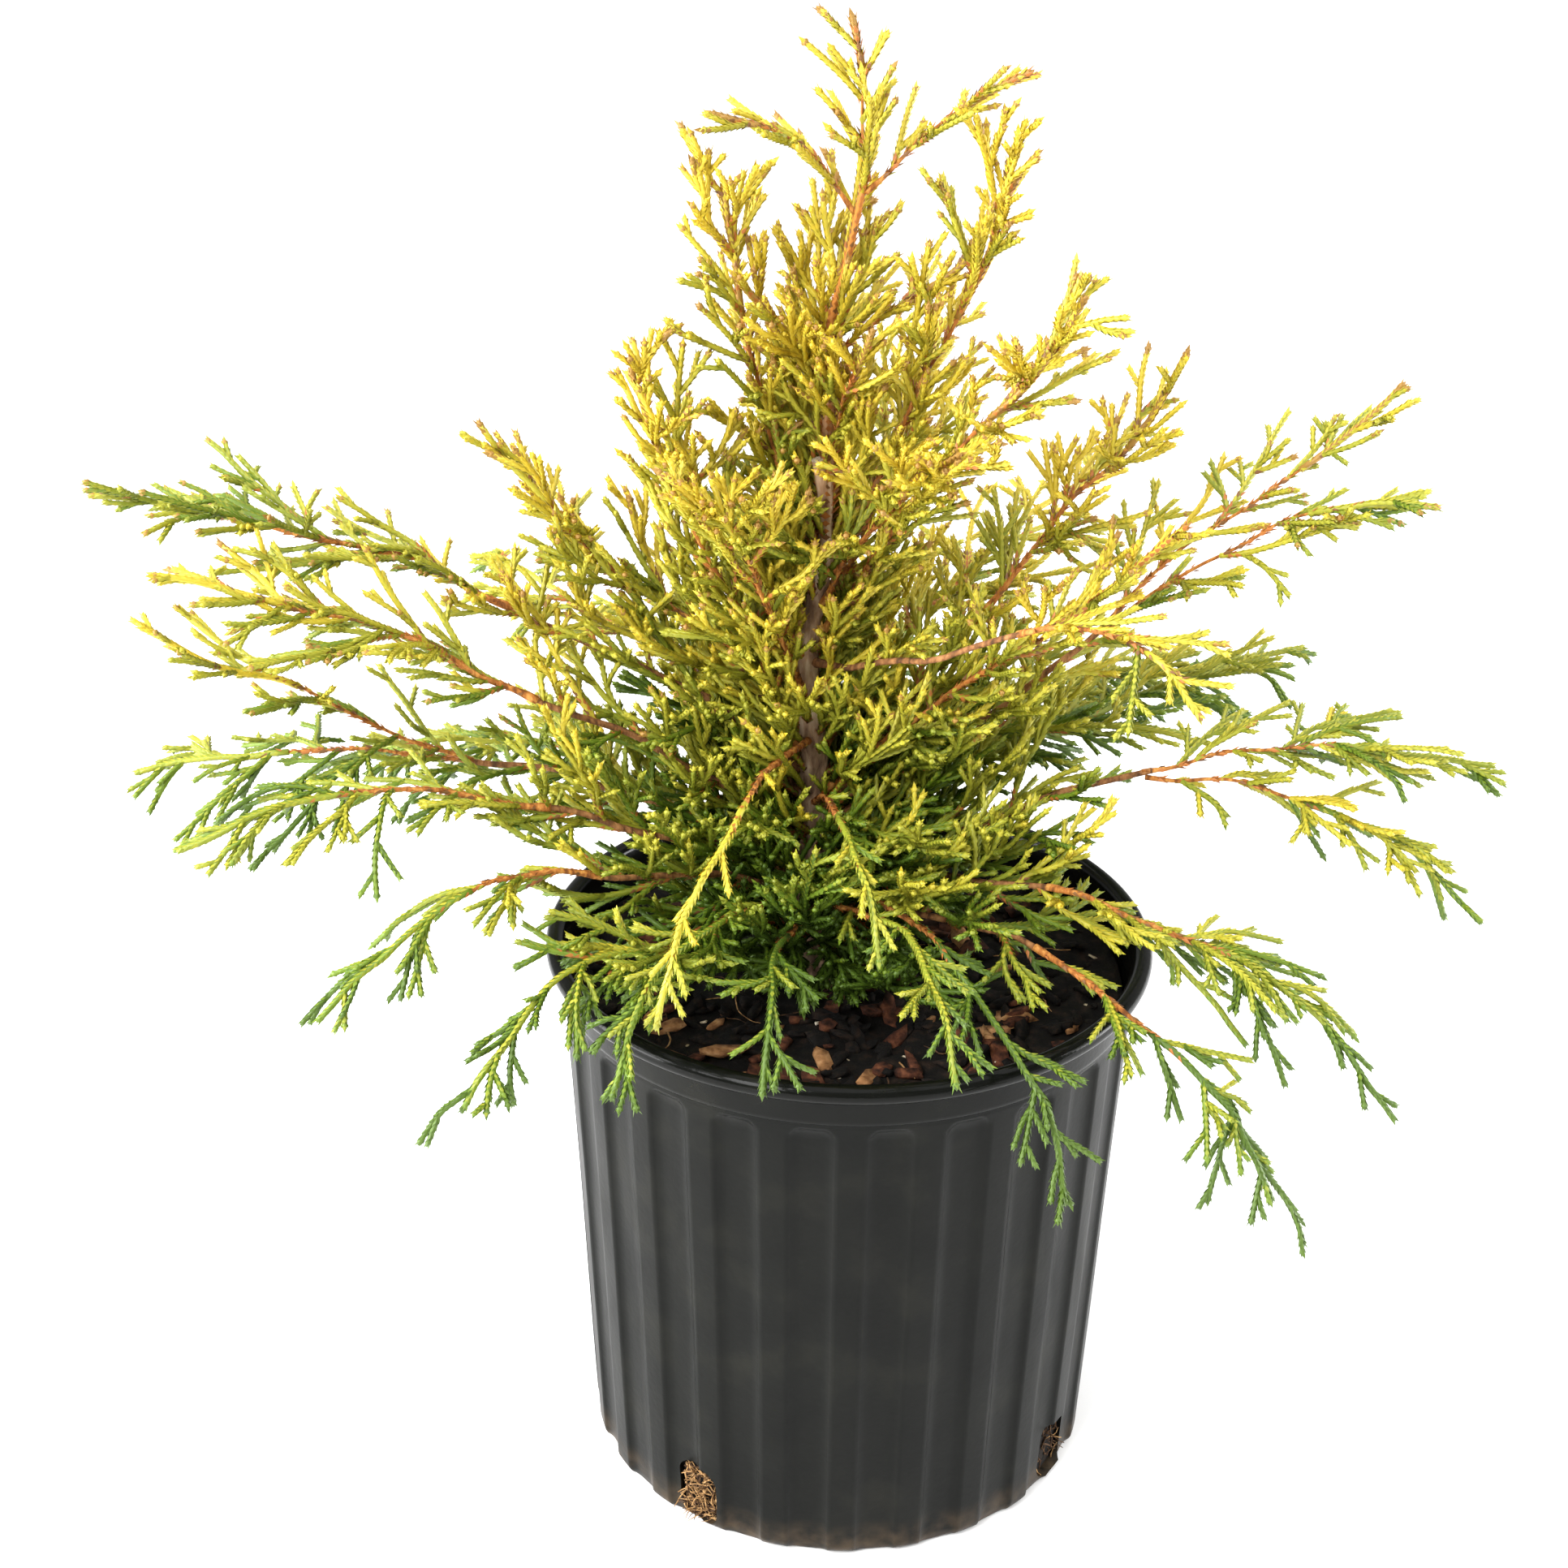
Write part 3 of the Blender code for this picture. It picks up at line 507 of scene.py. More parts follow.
def plan_limbs():
    """Boughs and stems by name, each a path with its radius at the root and at the tip."""
    boughs, stems = {}, {}
    forked = [row.bough for row in FORKS.values()]
    for name, row in BRANCHES.items():
        line = branch_line(name)
        thick = root_radius(line.length)
        joint = line.length * row.share
        joint_radius = mix(thick, LIMB_TIP_RADIUS, row.share)
        if row.share:
            stem_radius = LIMB_TIP_RADIUS if name in forked else joint_radius
            boughs[name] = (line.stretch(0, joint, LIMB_STEP), thick, joint_radius)
            outer = line.stretch(joint + GAP, line.length, LIMB_STEP)
            stems[name] = (outer, stem_radius, LIMB_TIP_RADIUS)
        else:
            stems[name] = (line.stretch(0, line.length, LIMB_STEP), thick, LIMB_TIP_RADIUS)
    for name, row in FORKS.items():
        bough = boughs[row.bough][0]
        line = fork_line(name, bough.points[-1], bough.heading(bough.length))
        stems[name] = (line.stretch(0, line.length, LIMB_STEP), LIMB_TIP_RADIUS, LIMB_TIP_RADIUS)
    return boughs, stems


def waved(path):
    """A path carried by slow waves, which leave the trunk's foot in place and the top at its height."""
    points = []
    for point in path.stretch(0, path.length, FINE_LEG).points:
        calm = min(1, (point - TRUNK.points[0]).length / WAVE_CALM)
        shift = Vector((0, 0, 0))
        for often, far in WAVES:
            shift += noise.noise_vector(point * often) * far
        shift.z *= held((WAVE_TOP - point.z) / WAVE_TOP_SPAN)
        points.append(point + shift * calm)
    return Path(points)


class Space:
    """Tells how near a point is to one stem and to all the others."""

    def __init__(self, name, boughs, stems):
        own = self.samples([stems[name][0]])
        others = self.samples([limb[0] for key, limb in stems.items() if key != name]
                              + [limb[0] for limb in boughs.values()])
        self.own = self.tree(own)
        self.others = self.tree(others)
        self.margin = OWN_SPACE

    @staticmethod
    def samples(paths):
        """Points all along the paths."""
        points = []
        for path in paths:
            count = max(2, round(path.length / SAMPLE_STEP))
            points += [path.at(path.length * number / count) for number in range(count + 1)]
        return points

    @staticmethod
    def tree(points):
        """A search tree of points."""
        search = KDTree(len(points))
        for index, point in enumerate(points):
            search.insert(point, index)
        search.balance()
        return search

    def holds(self, point):
        """True where a twig may pass: in this mass's space, clear of the trunk, the pot and the soil."""
        if self.own.find(point)[2] + self.margin > self.others.find(point)[2]:
            return False
        return clear_of_trunk(point) and clear_of_pot(point)


def in_reach(point):
    """True in the reach of the solids, or just beyond."""
    low, high = CAD_BOX
    return all(low[axis] - REACH_SPARE < point[axis] < high[axis] + REACH_SPARE for axis in range(3))


class Outline:
    """Lets the inner branchlets pass near the limbs and the coarse twigs, clear of trunk, pot and soil."""

    def __init__(self, paths):
        self.near = Space.tree(Space.samples(paths))
        self.trunk = Space.tree(Space.samples([TRUNK]))

    def holds(self, point):
        """True near the wood of the crown, clear of the trunk, the pot and the soil."""
        if self.near.find(point)[2] > NEAR_LIMBS and self.trunk.find(point)[2] > NEAR_TRUNK:
            return False
        if not in_reach(point) or before_trunk(point):
            return False
        return clear_of_trunk(point) and clear_of_pot(point)


def before_trunk(point):
    """True in the narrow strip in front of the trunk where its bark shows through the crown."""
    front = TRUNK.points[0].y - point.y
    level = point.z - front * WINDOW_SLOPE
    if front < WOOD_ROOM or not WINDOW_SPAN[0] < level < WINDOW_SPAN[1]:
        return False
    uneven = noise.noise(Vector((level * WINDOW_WAVES, 0.3, 0)))
    return abs(point.x - trunk_at(level).x) < WINDOW_HALF * (1 + WINDOW_UNEVEN * uneven)


def clear_of_trunk(point):
    """True well outside the trunk or above its top."""
    if point.z > TRUNK_TOP.z + WOOD_ROOM:
        return True
    return (point - trunk_at(point.z)).length > trunk_radius(point.z) + WOOD_ROOM


def clear_of_pot(point):
    """True over the rim, outside the pot, or inside it and over the soil."""
    reach = point.xy.length
    over_rim = point.z > POT_HEIGHT + POT_ROOM
    outside = reach > RIM_RADIUS + POT_ROOM
    over_soil = point.z > SOIL_LEVEL + SOIL_BUMP + POT_ROOM
    return over_rim or outside or (over_soil and reach < RIM_RADIUS - 2 * ROLL - POT_ROOM)


def shoot_path(start, heading, length, pull, wander=0, dice=None):
    """A shoot that turns towards the pull as it grows, and wanders where it is told to."""
    points = [start]
    bends = WANDER_BENDS if wander else TWIG_BENDS
    leg = length / bends
    if wander:
        pull = pull + Vector([dice.gauss(0, ARC) for _ in range(3)])
    for _ in range(bends):
        heading = (heading + pull * leg).normalized()
        if wander:
            heading += Vector([dice.gauss(0, wander) for _ in range(3)])
            heading.normalize()
        points.append(points[-1] + heading * leg)
    return Path(points)


def kept_length(path, space):
    """How far along a path the space holds it."""
    place = 3 * TEST_STEP
    while place < path.length:
        if not space.holds(path.at(place)):
            return place - 2 * TEST_STEP
        place += TEST_STEP
    return path.length if space.holds(path.points[-1]) else path.length - TEST_STEP


# Habits of side shoots: spacing, angle and turn about the parent, the shortest that is kept, the step
# of their paths, how much they wander and draw forward, and the length of the longest
Habit = namedtuple("Habit", "pitch angle turn shortest leg wander forward longest")
SIDES = Habit(SIDE_PITCH, SIDE_ANGLE, SIDE_TURN, SHORTEST, TWIG_LEG, 0, 0, 1)
SHOOTS = Habit(SHOOT_PITCH, SHOOT_ANGLE, SHOOT_TURN, SHORTEST, TWIG_LEG, 0, 0, 1)
FINE_SIDES = Habit(FINE_PITCH, 38, FINE_TURN, 0.010, FINE_LEG, 0.06, 7, 1)
DANGLES = Habit(0.020, 40, 60, 0.012, FINE_LEG, 0.05, 4, 1)
BRANCHLETS = Habit(BRANCHLET_PITCH, 42, 85, 0.020, FINE_LEG, 0.09, 6, 1)
BRANCHLET_SIDES = Habit(0.0090, 34, 50, 0.007, FINE_LEG, 0.09, 7, 1)
TAIL_SHOOTS = Habit(0.0142, 34, 30, 0.004, FINE_LEG, 0.06, 10, 0.024)
TWIGLETS = Habit(0.0116, 36, 32, 0.005, FINE_LEG, 0.06, 9, 0.030)
OPEN_TWIGLETS = Habit(0.0105, 32, 26, 0.003, FINE_LEG, 0.05, 12, 0.012)
AIRY_TWIGLETS = Habit(0.0215, 36, 32, 0.004, FINE_LEG, 0.06, 9, 0.015)
INNER_TWIGLETS = Habit(0.0080, 33, 45, 0.005, FINE_LEG, 0.08, 10, 0.028)
LOBES = Habit(0.0084, 34, 45, 0.003, FINE_LEG, 0.06, 8, 1)

# What a growth goes by: the pull on its twigs, the space that holds them, its seeded draw and its tint,
# with the cords that it has grown so far
Growth = namedtuple("Growth", "pull space dice tint cords")


def side_shoots(parent, habit, first, lengths, growth):
    """Shoots by turns to the left and the right of a parent path.

    lengths gives a shoot's length for a place on the parent. A shoot that the space doesn't hold is
    cut short, or left out where little remains.
    """
    found = []
    dice = growth.dice
    place = first
    hand = dice.choice((-1, 1))
    while place < parent.length - TWIG_END:
        length = lengths(place) * dice.uniform(*LENGTH_LUCK)
        spread = math.radians(habit.angle + dice.uniform(-ANGLE_LUCK, ANGLE_LUCK))
        roll = math.radians(dice.uniform(-habit.turn, habit.turn))
        heading = parent.heading(place)
        aside = heading.cross(DOWN)
        if aside.length <= UPRIGHT_TWIG:
            aside = heading.cross(Vector((0, 1, 0)))
        aside.normalize()
        aside.rotate(Matrix.Rotation(roll, 3, heading))
        lead = heading * math.cos(spread) + aside * (hand * math.sin(spread))
        pull = growth.pull + heading * habit.forward
        path = shoot_path(parent.at(place), lead, length, pull, habit.wander, dice)
        kept = kept_length(path, growth.space)
        if kept >= habit.shortest:
            found.append(path.stretch(0, kept, habit.leg))
        hand = -hand
        place += habit.pitch * dice.uniform(*PITCH_LUCK)
    return found


def weep_of(height, dip):
    """How strongly side shoots turn down: low ones hang, high ones climb."""
    if dip < HANG_SLOPE:
        return WEEP
    return mix(CLIMB, WEEP, held((WEEP_TOP - height) / (WEEP_TOP - WEEP_FOOT)))


# A cord is a twig with its rank (0 a stem, 1 a side shoot, 2 a twiglet, 3 a lobe), its spray's luck,
# its branch's tint and the share of it that is woody
Cord = namedtuple("Cord", "path rank luck tint wood")
# A mass is its stem, its row in the table, the pull on its twigs, the length of the longest, the bare
# length near the trunk, its coarse side shoots and their shoots, and its space
Mass = namedtuple("Mass", "stem row pull most bare sides shoots space")


def grow_mass(name, stems, boughs):
    """The coarse twigs of a mass, as in its solid."""
    stem = stems[name][0]
    row = BRANCHES.get(name) or FORKS[name]
    pull = DOWN * weep_of(row.height, row.dip)
    growth = Growth(pull, Space(name, boughs, stems), random.Random(name), 0, [])
    most = SIDE_LONGEST * (HANG_SHARE if row.dip < HANG_SLOPE else 1)
    on_trunk = name in BRANCHES and not row.share
    bare = INNER_BARE * max(0, stem.length - SHORT_STEM) if on_trunk else 0
    habit = SIDES._replace(pitch=min(SIDE_PITCH, stem.length / SHORT_STEM_SIDES))

    def side_length(place):
        """Longest a little way out, then shorter towards the stem's tip."""
        swell = min(1, SWELL_START + (place - bare) / SWELL_LENGTH)
        return min(most, SIDE_SHORTEST + SIDE_SHARE * (stem.length - place)) * swell

    sides = side_shoots(stem, habit, max(SIDE_FIRST, bare), side_length, growth)
    shoots = []
    for side in sides:
        def shoot_length(place):
            """Shorter towards the side shoot's tip."""
            return SHOOT_SHORTEST + SHOOT_SHARE * (side.length - place)

        shoots += side_shoots(side, SHOOTS, SHOOT_FIRST, shoot_length, growth)
    return Mass(stem, row, pull, most, bare, sides, shoots, growth.space)


def grow_fine(name, mass, outline):
    """The cords of a mass: its coarse twigs, more side shoots between them, and their twiglets."""
    stem, row = mass.stem, mass.row
    growth = Growth(mass.pull, mass.space, random.Random(name + " fine"), TINTS.get(name, 0), [])
    dice = growth.dice
    mass.space.margin = FINE_SPACE
    airy = name in OPEN or row.height > AIRY_HEIGHT
    habit = OPEN_TWIGLETS if name in OPEN else AIRY_TWIGLETS if airy else TWIGLETS

    def fine_length(place):
        """As the coarse sides', with shorter ones towards the trunk."""
        swell = min(1, max(FINE_SWELL, SWELL_START + (place - mass.bare) / SWELL_LENGTH))
        longest = min(mass.most, SIDE_SHORTEST + SIDE_SHARE * (stem.length - place))
        return FINE_SHARE * longest * swell

    extra = []
    if stem.length > SHORT_BRANCH and not airy:
        end = stem.length - (FULL_END if name in FULL else FINE_END)
        inner = stem.stretch(0, max(FINE_LEG, end), FINE_LEG)
        fine = FINE_SIDES._replace(pitch=FULL_PITCH) if name in FULL else FINE_SIDES
        extra = side_shoots(inner, fine, FINE_BARE * mass.bare + TWIGLET_FIRST, fine_length, growth)
    tail = stem.stretch(max(0, stem.length - TAIL), stem.length, FINE_LEG)
    grow_twiglets(tail, habit if airy else TAIL_SHOOTS, dice.gauss(0, 1), growth)
    if weep_of(row.height, row.dip) > DANGLE_WEEP and stem.length > SHORT_BRANCH and name not in OPEN:
        grow_dangles(stem, growth._replace(pull=DOWN * DANGLE_PULL, space=outline))
    sides, shoots = mass.sides, mass.shoots
    if name in WHIPS:
        sides = [side.stretch(0, side.length * WHIP_SHARE, FINE_LEG) for side in sides[::2]]
        shoots = []
    elif airy:
        shoots = shoots[::2]
    for twig in sides + extra + shoots:
        luck = dice.gauss(0, 1)
        woody = dice.uniform(0, WOODY_MOST) if row.height > WOODY_HEIGHT else 0
        growth.cords.append(Cord(twig, 1, luck, growth.tint, woody))
        if not airy or (twig in sides and name not in WHIPS):
            grow_twiglets(twig, habit, luck, growth)
    return growth.cords


def grow_dangles(stem, growth):
    """Adds threads that hang from a stem's outer part."""
    def dangle_length(_):
        """A hanging thread's length."""
        return growth.dice.uniform(*DANGLE_LENGTH)

    outer = stem.stretch(stem.length * DANGLE_START, stem.length, FINE_LEG)
    for twig in side_shoots(outer, DANGLES, DANGLE_FIRST, dangle_length, growth):
        luck = growth.dice.gauss(*DANGLE_LUCK)
        growth.cords.append(Cord(twig, 1, luck, growth.tint, 0))
        grow_twiglets(twig, OPEN_TWIGLETS, luck, growth)


def grow_twiglets(parent, habit, luck, growth):
    """Adds the twiglets of a twig, and the lobes of the longer ones."""
    def twiglet_length(place):
        """Shorter towards the twig's tip."""
        return min(habit.longest, TWIGLET_SHORTEST + TWIGLET_SHARE * (parent.length - place))

    def lobe_length(_):
        """A short lobe."""
        return growth.dice.uniform(*LOBE_LENGTH)

    for twiglet in side_shoots(parent, habit, TWIGLET_FIRST, twiglet_length, growth):
        growth.cords.append(Cord(twiglet, 2, luck, growth.tint, 0))
        if twiglet.length > LOBED:
            lobes = side_shoots(twiglet, LOBES, LOBE_FIRST, lobe_length, growth)
            growth.cords.extend(Cord(lobe, 3, luck, growth.tint, 0) for lobe in lobes)


def branchlet_cords(branchlets, growth):
    """Adds inner branchlets with their side shoots and twiglets."""
    for branchlet in branchlets:
        luck = growth.dice.gauss(0, 1)
        growth.cords.append(Cord(branchlet, 1, luck, growth.tint, growth.dice.uniform(*BRANCHLET_WOOD)))

        def side_length(place):
            """Shorter towards the branchlet's tip."""
            left = branchlet.length - place
            return min(BRANCHLET_SIDE, BRANCHLET_SIDE_END + BRANCHLET_SIDE_SHARE * left)

        for side in side_shoots(branchlet, BRANCHLET_SIDES, BRANCHLET_SIDE_FIRST, side_length, growth):
            growth.cords.append(Cord(side, 1, luck, growth.tint, 0))
            grow_twiglets(side, INNER_TWIGLETS, luck, growth)


def grow_inner(masses, boughs, outline):
    """Branchlets of the limbs' inner parts, and shoots all round the trunk."""
    cords = []
    for name, mass in masses.items():
        if mass.stem.length > SHORT_BRANCH and name not in OPEN:
            climb = BRANCHLET_CLIMB * (HANGING_CLIMB if mass.row.dip < HANG_SLOPE else 1)
            dice = random.Random(name + " inner")
            growth = Growth(DOWN * -climb, outline, dice, TINTS.get(name, 0) * INNER_TINT, cords)
            size = mix(1.0, HIGH_SIZE, held(mass.row.height / CROWN_HEIGHT))
            limbs = [mass.stem, boughs[name][0]] if name in boughs else [mass.stem]
            for path in limbs:
                grow_branchlets(path, size, growth)
    growth = Growth(DOWN * -BRANCHLET_CLIMB, outline, random.Random("trunk shoots"), 0, cords)
    grow_trunk_shoots(growth)
    grow_skirt(growth._replace(pull=DOWN * SKIRT_WEEP, tint=SKIRT_TINT))
    return cords


def grow_branchlets(limb_path, size, growth):
    """Adds the branchlets of a limb that start near the trunk, shorter further out."""
    def length_at(_):
        """A branchlet's length."""
        return size * growth.dice.uniform(*BRANCHLET_LENGTH)

    found = []
    for path in side_shoots(limb_path, BRANCHLETS, BRANCHLET_FIRST, length_at, growth):
        away = (path.points[0].xy - BRANCHLET_AXIS).length / BRANCHLET_REACH
        if away < 1:
            found.append(path.stretch(0, path.length * mix(1, OUTER_SIZE, away * away), FINE_LEG))
    branchlet_cords(found, growth)


def grow_trunk_shoots(growth):
    """Adds shoots all round and all the way up the trunk, steeper and shorter further up."""
    found = []
    for number in range(TRUNK_SHOOTS):
        share = (number / TRUNK_SHOOTS) ** TRUNK_SHOOT_CROWD
        if share > TRUNK_THIN and number % 2:
            continue
        rise = mix(*TRUNK_SHOOT_SPAN, share)
        slope = mix(*TRUNK_SHOOT_SLOPE, share ** 0.5) + growth.dice.uniform(-SLOPE_LUCK, SLOPE_LUCK)
        length = growth.dice.uniform(*BRANCHLET_LENGTH) * mix(*TRUNK_SHOOT_SIZE, share)
        found += trunk_shoot(rise, number * GOLDEN_ANGLE, slope, length, growth)
    branchlet_cords(found, growth)


def grow_skirt(growth):
    """Adds shoots that hang round the trunk's foot."""
    found = []
    for number in range(SKIRT_SHOOTS):
        rise = mix(*SKIRT_SPAN, number / SKIRT_SHOOTS)
        slope = growth.dice.uniform(*SKIRT_SLOPE)
        length = growth.dice.uniform(*SKIRT_LENGTH)
        found += trunk_shoot(rise, number * GOLDEN_ANGLE, slope, length, growth)
    branchlet_cords(found, growth)


def trunk_shoot(rise, azimuth, slope, length, growth):
    """A shoot from the trunk at a height above the soil, in a list that is empty where it has no room."""
    middle = trunk_at(SOIL_LEVEL + rise)
    lead = sloped(math.radians(azimuth), slope)
    path = shoot_path(middle, lead, length, growth.pull, BRANCHLETS.wander, growth.dice)
    start = trunk_radius(middle.z) + 2 * WOOD_ROOM
    kept = kept_length(path.stretch(start, path.length, FINE_LEG), growth.space) + start
    root = trunk_radius(middle.z) * TRUNK_SHOOT_ROOT
    return [path.stretch(root, kept, FINE_LEG)] if kept > TRUNK_SHOOT_SHORTEST else []


# Meshes

def curve_leg(before, start, end, after):
    """Points from start up to end on a smooth curve through four points."""
    t = (np.arange(CURVE_CUTS) / CURVE_CUTS)[:, None]
    return 0.5 * (2 * start + (end - before) * t + (2 * before - 5 * start + 4 * end - after) * t ** 2
                  + (3 * start - before - 3 * end + after) * t ** 3)


def smooth_line(points, step):
    """Points in even steps along a smooth curve through the given ones, and their places on it."""
    line = np.array([tuple(point) for point in points])
    if len(line) > 2:
        padded = np.vstack([2 * line[0] - line[1], line, 2 * line[-1] - line[-2]])
        legs = [curve_leg(*four) for four in zip(padded, padded[1:], padded[2:], padded[3:])]
        line = np.vstack(legs + [line[-1:]])
    reach = np.concatenate([[0], np.cumsum(np.linalg.norm(np.diff(line, axis=0), axis=1))])
    places = np.linspace(0, reach[-1], max(2, round(reach[-1] / step) + 1))
    return np.stack([np.interp(places, reach, line[:, axis]) for axis in range(3)], axis=1), places


def unit(vectors):
    """Vectors brought to length 1."""
    return vectors / np.maximum(np.linalg.norm(vectors, axis=-1, keepdims=True), 1e-9)


def headings_of(points):
    """The direction of a line at each of its points."""
    return unit(np.gradient(points, axis=0))


def upper_sides(headings):
    """For each heading the direction square to it that points most nearly up, or to the front."""
    rise = headings[:, 2:3]
    tops = UP - rise * headings
    front = np.array((0, -1.0, 0)) - -headings[:, 1:2] * headings
    return unit(np.where(np.abs(rise) > UPRIGHT, front, tops))


def carried_sides(headings):
    """Directions square to a line that turn no more than the line bends."""
    side = np.cross(headings[0], -UP) + np.array((0, 1e-3, 0))
    sides = []
    for heading in headings:
        side = side - heading * (side @ heading)
        side = side / np.linalg.norm(side)
        sides.append(side)
    return np.array(sides)


def ring_cells(rings, count):
    """Corner numbers of the cells between rings of count points, an array for each of the four."""
    rows = np.arange(rings - 1)[:, None] * count
    here, after = ring_pairs(count)
    return rows + here, rows + after, rows + count + after, rows + count + here


def ring_pairs(count):
    """The numbers round one ring, and the number after each."""
    here = np.arange(count)
    return here, (here + 1) % count


def triangles_of(*corners):
    """Triangles from three arrays or numbers of corners."""
    return np.stack(np.broadcast_arrays(*corners), -1).reshape(-1, 3)


def tube(points, sides_of, radii, count, closed=True):
    """Vertices and triangles of a tube; closed gives it a point at each end."""
    headings = headings_of(points)
    across = np.cross(headings, sides_of)
    turn = math.tau * np.arange(count) / count
    radii = np.asarray(radii)
    if radii.ndim == 1:
        radii = np.repeat(radii[:, None], count, axis=1)
    ring = sides_of[:, None] * np.cos(turn)[None, :, None] + across[:, None] * np.sin(turn)[None, :, None]
    vertices = (points[:, None] + ring * radii[:, :, None]).reshape(-1, 3)
    a, b, c, d = ring_cells(len(points), count)
    faces = [triangles_of(a, b, c), triangles_of(a, c, d)]
    if closed:
        size = len(vertices)
        last = size - count
        here, after = ring_pairs(count)
        far = radii[-1].mean()
        vertices = np.vstack([vertices, points[:1], points[-1:] + headings[-1:] * far])
        faces += [triangles_of(size, after, here), triangles_of(size + 1, last + here, last + after)]
    return vertices, np.concatenate(faces)


def leaf_shells(centres, headings, outs, radii, lengths, widths, flares):
    """Scale leaves as kites of two faces that fold along a keel."""
    aside = np.cross(headings, outs) * (widths / 2)[:, None]
    along = headings * lengths[:, None]
    away = outs * radii[:, None]
    middle = centres + LEAF_MIDDLE * along + LEAF_LIFT * away
    tip = centres + along + flares[:, None] * away
    vertices = np.stack([centres + LEAF_SEAT * away, middle + aside, middle - aside, tip], axis=1)
    faces = np.arange(len(centres))[:, None, None] * 4 + LEAF_FACES
    return vertices.reshape(-1, 3), faces.reshape(-1, 3)


def buds(centres, headings, tops, radii, lengths):
    """Blunt eight-sided tips."""
    across = np.cross(headings, tops)
    belly = centres + headings * (lengths * BUD_BELLY)[:, None]
    corners = [centres - headings * (lengths * BUD_FOOT)[:, None]]
    corners += [belly + way * radii[:, None] for way in (tops, across, -tops, -across)]
    corners.append(centres + headings * (lengths * BUD_TIP)[:, None])
    vertices = np.stack(corners, axis=1)
    here, after = ring_pairs(4)
    faces = np.concatenate([triangles_of(0, 1 + after, 1 + here), triangles_of(5, 1 + here, 1 + after)])
    triangles = np.arange(len(centres))[:, None, None] * len(corners) + faces
    return vertices.reshape(-1, 3), triangles.reshape(-1, 3)


def joined(parts):
    """Several vertex and triangle arrays as one."""
    vertices, triangles, start = [], [], 0
    for points, faces in parts:
        vertices.append(points)
        triangles.append(faces + start)
        start += len(points)
    return np.vstack(vertices), np.vstack(triangles)


def add_object(name, data):
    """A named object of the scene, for a mesh, a lamp or a camera."""
    item = bpy.data.objects.new(name, data)
    bpy.context.scene.collection.objects.link(item)
    return item


def make_object(name, vertices, triangles, surface, smooth=False):
    """A named object of vertex and triangle arrays."""
    mesh = bpy.data.meshes.new(name)
    mesh.vertices.add(len(vertices))
    mesh.vertices.foreach_set("co", np.ascontiguousarray(vertices, dtype=np.float32).ravel())
    mesh.loops.add(len(triangles) * 3)
    mesh.loops.foreach_set("vertex_index", np.ascontiguousarray(triangles, dtype=np.int32).ravel())
    mesh.polygons.add(len(triangles))
    mesh.polygons.foreach_set("loop_start", np.arange(0, len(triangles) * 3, 3, dtype=np.int32))
    mesh.update(calc_edges=True)
    mesh.validate()
    if smooth:
        mesh.shade_smooth()
    mesh.materials.append(surface)
    return add_object(name, mesh)


def place(item, slot, nodes=()):
    """Puts a piece on the plant's body and hides the nodes that it stands for; the slot is not used."""
    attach(item, "root")
    if nodes:
        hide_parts(*nodes)
    return item


def add_piece(title, shape, surface, slot, nodes=(), smooth=False):
    """A piece of the plant from its vertices and triangles."""
    return place(make_object(title, *shape, surface, smooth), slot, nodes)


# Surfaces

# How a mottled finish is made: the detail and the stretch of its grain, the places of three colours on
# it, the roughness at its ends, and its relief: how much finer, its stretch, its depth and its strength
Finish = namedtuple("Finish", "detail stretch places rough specular finer relief_stretch depth strength")
BARK = Finish(4, (1, 1, 0.35), (0.34, 0.5, 0.66), (0.88, 0.7), 0.25, 3, (1, 1, 0.3), 0.0006, 0.8)
CRUMBS = Finish(5, None, (0.35, 0.52, 0.70), (0.95, 0.8), 0.2, 2, None, 0.0008, 0.9)
GRAIN_SPAN = (0.3, 0.7)
YOUNG_SPAN = (0.38, 0.46)
# Leaves and ground: scale of the grain, roughness, and depth and strength of the relief
LEAF_GRAIN = 900
LEAF_ROUGHNESS = (0.42, 0.62)
LEAF_RELIEF = (0.0002, 0.5)
GROUND_COLOUR = (0.93, 0.93, 0.93)
GROUND_GRAIN = 3
GROUND_ROUGHNESS = (0.88, 0.94)
# The pot's plastic: scales of its mottling, dust, scuffs and relief, its colours, the dust near its
# foot, and the roughness of wall and rim
PLASTIC_GRAIN = 38
DUST_GRAIN = 160
SCUFF_GRAIN = 90
SCUFF_STRETCH = (1, 1, 0.25)
FINE_GRAIN = 420
PLASTIC_RELIEF = (0.0002, 0.35)
PLASTIC_SPECULAR = 0.11
PLASTIC_PLACES = (0.30, 0.55, 0.75)
PLASTIC_COLOURS = screen((6, 7, 5), (11, 12, 9), (22, 22, 17))
DUST_COLOUR = srgb(80, 66, 50)
DUST_TOP = 0.016
DUST_MOST = 0.8
WALL_ROUGHNESS = (0.34, 0.46)
RIM_GLOSS = 0.17
GLOSS_SPAN = (FLUTE_TOP - 0.004, FLUTE_TOP + 0.002)


